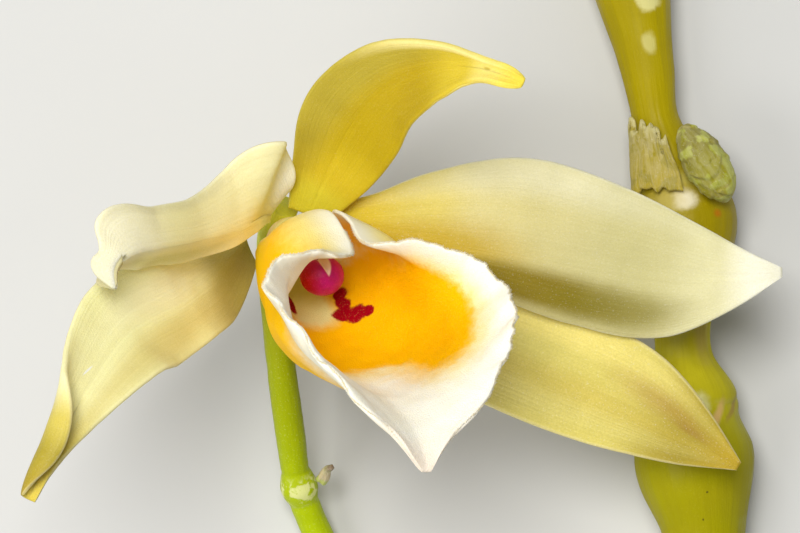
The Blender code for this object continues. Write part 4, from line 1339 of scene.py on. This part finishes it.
# %% Build the sheath and the bud
SHEATH_FROM, SHEATH_TO = 0.540, 0.583
SHEATH_TURNS = (88.0, 156.0)
SHEATH_GAP = 0.38
SHEATH_TEETH = 0.9
SHEATH_SLOPE = 1.3
SHEATH_LEAN = 0.05
SHEATH_WEAR = 0.35
SHEATH_FLARE = 0.25
SHEATH_ROWS, SHEATH_COLUMNS = 70, 240
BUD_SCALES = 4.2
BUD_ROWS, BUD_SIDES = 150, 110
SIDE_BUD = [
    (29.3, 6.3, 8.6, 0.7),
    (28.7, 7.3, 9.7, 1.6),
    (27.4, 9.3, 10.2, 2.05),
    (26.3, 11.1, 9.7, 1.6),
    (25.6, 12.4, 8.4, 0.6),
]


def sheath_grid(rows, columns):
    """A papery scrap standing a little off the cane, with a torn slanting upper edge and a worn lower one."""
    stations = np.array(CANE, float)
    knots = along(stations[:, :3])
    turn = np.radians(np.linspace(*SHEATH_TURNS, columns))
    edge = np.stack([turn * 5, turn * 0, turn * 0], axis=-1)
    tear = SHEATH_TEETH * (0.5 + 0.3 * np.sin(7 * turn) + 0.2 * np.sin(17 * turn + 1.0))
    tear = tear + SHEATH_SLOPE * np.linspace(0.0, 1.0, columns) + noises(edge, (0.5, 0.35, 91))
    worn = SHEATH_WEAR * (1 + noise(edge, 0.6, 97))
    grid = np.empty((rows, columns, 3))
    for i, up in enumerate(np.linspace(0.0, 1.0, rows)):
        share = SHEATH_FROM + (SHEATH_TO - SHEATH_FROM) * up
        x, y, z, radius = curve_through(knots, stations, np.array([share]))[0]
        radius = radius + SHEATH_GAP + SHEATH_THICKNESS / 2 + SHEATH_FLARE * up**2
        grid[i, :, 0] = x + radius * np.cos(turn) + SHEATH_LEAN * tear * up
        grid[i, :, 1] = y + tear * up - worn * (1 - up)
        grid[i, :, 2] = z + radius * np.sin(turn)
    return grid


def bud_swell(t, turn, points):
    """Steps of overlapping scales, each with a pointed upper edge, and a wrinkled skin."""
    step = (BUD_SCALES * t + 0.55 * np.abs(np.sin(1.5 * turn + np.floor(BUD_SCALES * t)))) % 1.0
    scales = 0.20 * (1 - step) * np.clip(step * 7, 0, 1) - 0.10
    return scales + noises(points, (0.06, 0.8, 95), (0.05, 0.35, 96))


sheath_fine = sheath_grid(SHEATH_ROWS, SHEATH_COLUMNS)
creases = noises(sheath_fine * [1, 0.4, 1], (0.09, 1.5, 92)) + noises(sheath_fine, (0.03, 0.6, 93))
sheath_fine = sheath_fine + grid_normals(sheath_fine) * creases[..., None]
sheath = sheet_piece("cane_sheath", sheath_fine, SHEATH_THICKNESS, face_side=1, rim=0.3)
bud = rings_piece("side_bud", rings_along(SIDE_BUD, BUD_ROWS, BUD_SIDES, bud_swell))
print("sheath faces:", len(sheath.data.polygons), "and bud faces:", len(bud.data.polygons))

# %% Paint the sheath and the bud
SHEATH_STOPS = [(0.0, srgb(182, 162, 30)), (0.4, srgb(180, 162, 58)), (0.8, srgb(176, 162, 84)),
                (1.0, srgb(192, 182, 116))]
BUD_STOPS = [(0.0, srgb(156, 142, 20)), (0.35, srgb(152, 146, 24)), (0.7, srgb(134, 126, 20)),
             (1.0, srgb(156, 146, 60))]
dress(sheath, papery_finish("dry sheath", SHEATH_STOPS, srgb(164, 148, 30), 0.16))
dress(bud, papery_finish("bud scales", BUD_STOPS, srgb(168, 170, 60), 0.14))
print("painted:", sheath.name, "and", bud.name)

# %% [markdown]
# ## Floor, light and camera
# The stem lies on a pale table and the camera looks straight down on it, so the picture has the photograph's
# own view. One large soft lamp stands close to the camera, so the light reaches into the mouth of the lip,
# a weaker one fills from the lower left, and a pale surrounding keeps the shadows open.

# %% Floor
FLOOR_REACH = 3.0
FLOOR_LIGHT, FLOOR_DARK = srgb(206, 206, 204), srgb(200, 200, 198)

corners = [(-FLOOR_REACH, -FLOOR_REACH, 0), (FLOOR_REACH, -FLOOR_REACH, 0),
           (FLOOR_REACH, FLOOR_REACH, 0), (-FLOOR_REACH, FLOOR_REACH, 0)]
floor_mesh = bpy.data.meshes.new("floor")
floor_mesh.from_pydata(corners, [], [(0, 1, 2, 3)])
floor = bpy.data.objects.new("floor", floor_mesh)
bpy.context.scene.collection.objects.link(floor)
floor_material, floor_tree, floor_shader = new_material("pale table", gloss=0.3)
floor_clouds = clouds_at(floor_tree, coordinates(floor_tree), 40.0)
floor_colour = lay(floor_tree, FLOOR_LIGHT, [(floor_clouds, 0.3, FLOOR_DARK)])
feed(floor_tree, floor_shader, {"Base Color": floor_colour, "Roughness": 0.7})
dress(floor, floor_material)
print("floor is", 2 * FLOOR_REACH, "m wide")

# %% Light
import mathutils


def soft_lamp(name, place, target, size, watts, tint):
    """A round soft lamp that looks from its place to its target."""
    data = bpy.data.lights.new(name, "AREA")
    data.shape, data.size, data.energy, data.color = "DISK", size, watts, tint
    lamp = bpy.data.objects.new(name, data)
    bpy.context.scene.collection.objects.link(lamp)
    lamp.location = place
    aim = mathutils.Vector(target) - mathutils.Vector(place)
    lamp.rotation_euler = aim.to_track_quat("-Z", "Y").to_euler()


FLOWER = (0, 0, 0.02)
soft_lamp("key", (-0.07, 0.13, 0.62), FLOWER, 0.26, 3.3, (1.0, 0.99, 0.96))
soft_lamp("fill", (-0.34, -0.18, 0.42), FLOWER, 0.36, 1.3, (1.0, 0.99, 0.97))
world = bpy.data.worlds.new("soft room")
world.use_nodes = True
room = {"Color": (0.95, 0.97, 1.0, 1.0), "Strength": 0.26}
feed(world.node_tree, world.node_tree.nodes["Background"], room)
bpy.context.scene.world = world
print("lamps:", len(bpy.data.lights))

# %% Camera
CAMERA_HEIGHT = 0.420
SENSOR_WIDTH = 36.0
VIEW_DISTANCE, VIEW_WIDTH = 4571, 800
LENS = VIEW_DISTANCE / VIEW_WIDTH * SENSOR_WIDTH

camera_data = bpy.data.cameras.new("camera")
camera_data.sensor_width, camera_data.lens = SENSOR_WIDTH, LENS
camera_data.clip_start, camera_data.clip_end = 0.01, 20.0
camera = bpy.data.objects.new("camera", camera_data)
bpy.context.scene.collection.objects.link(camera)
camera.location = (-CENTRE_OF_BASE[0] * MM, -CENTRE_OF_BASE[1] * MM, CAMERA_HEIGHT)
bpy.context.scene.camera = camera
bpy.context.scene.view_settings.view_transform = "Standard"
print("lens:", round(LENS, 1), "mm")
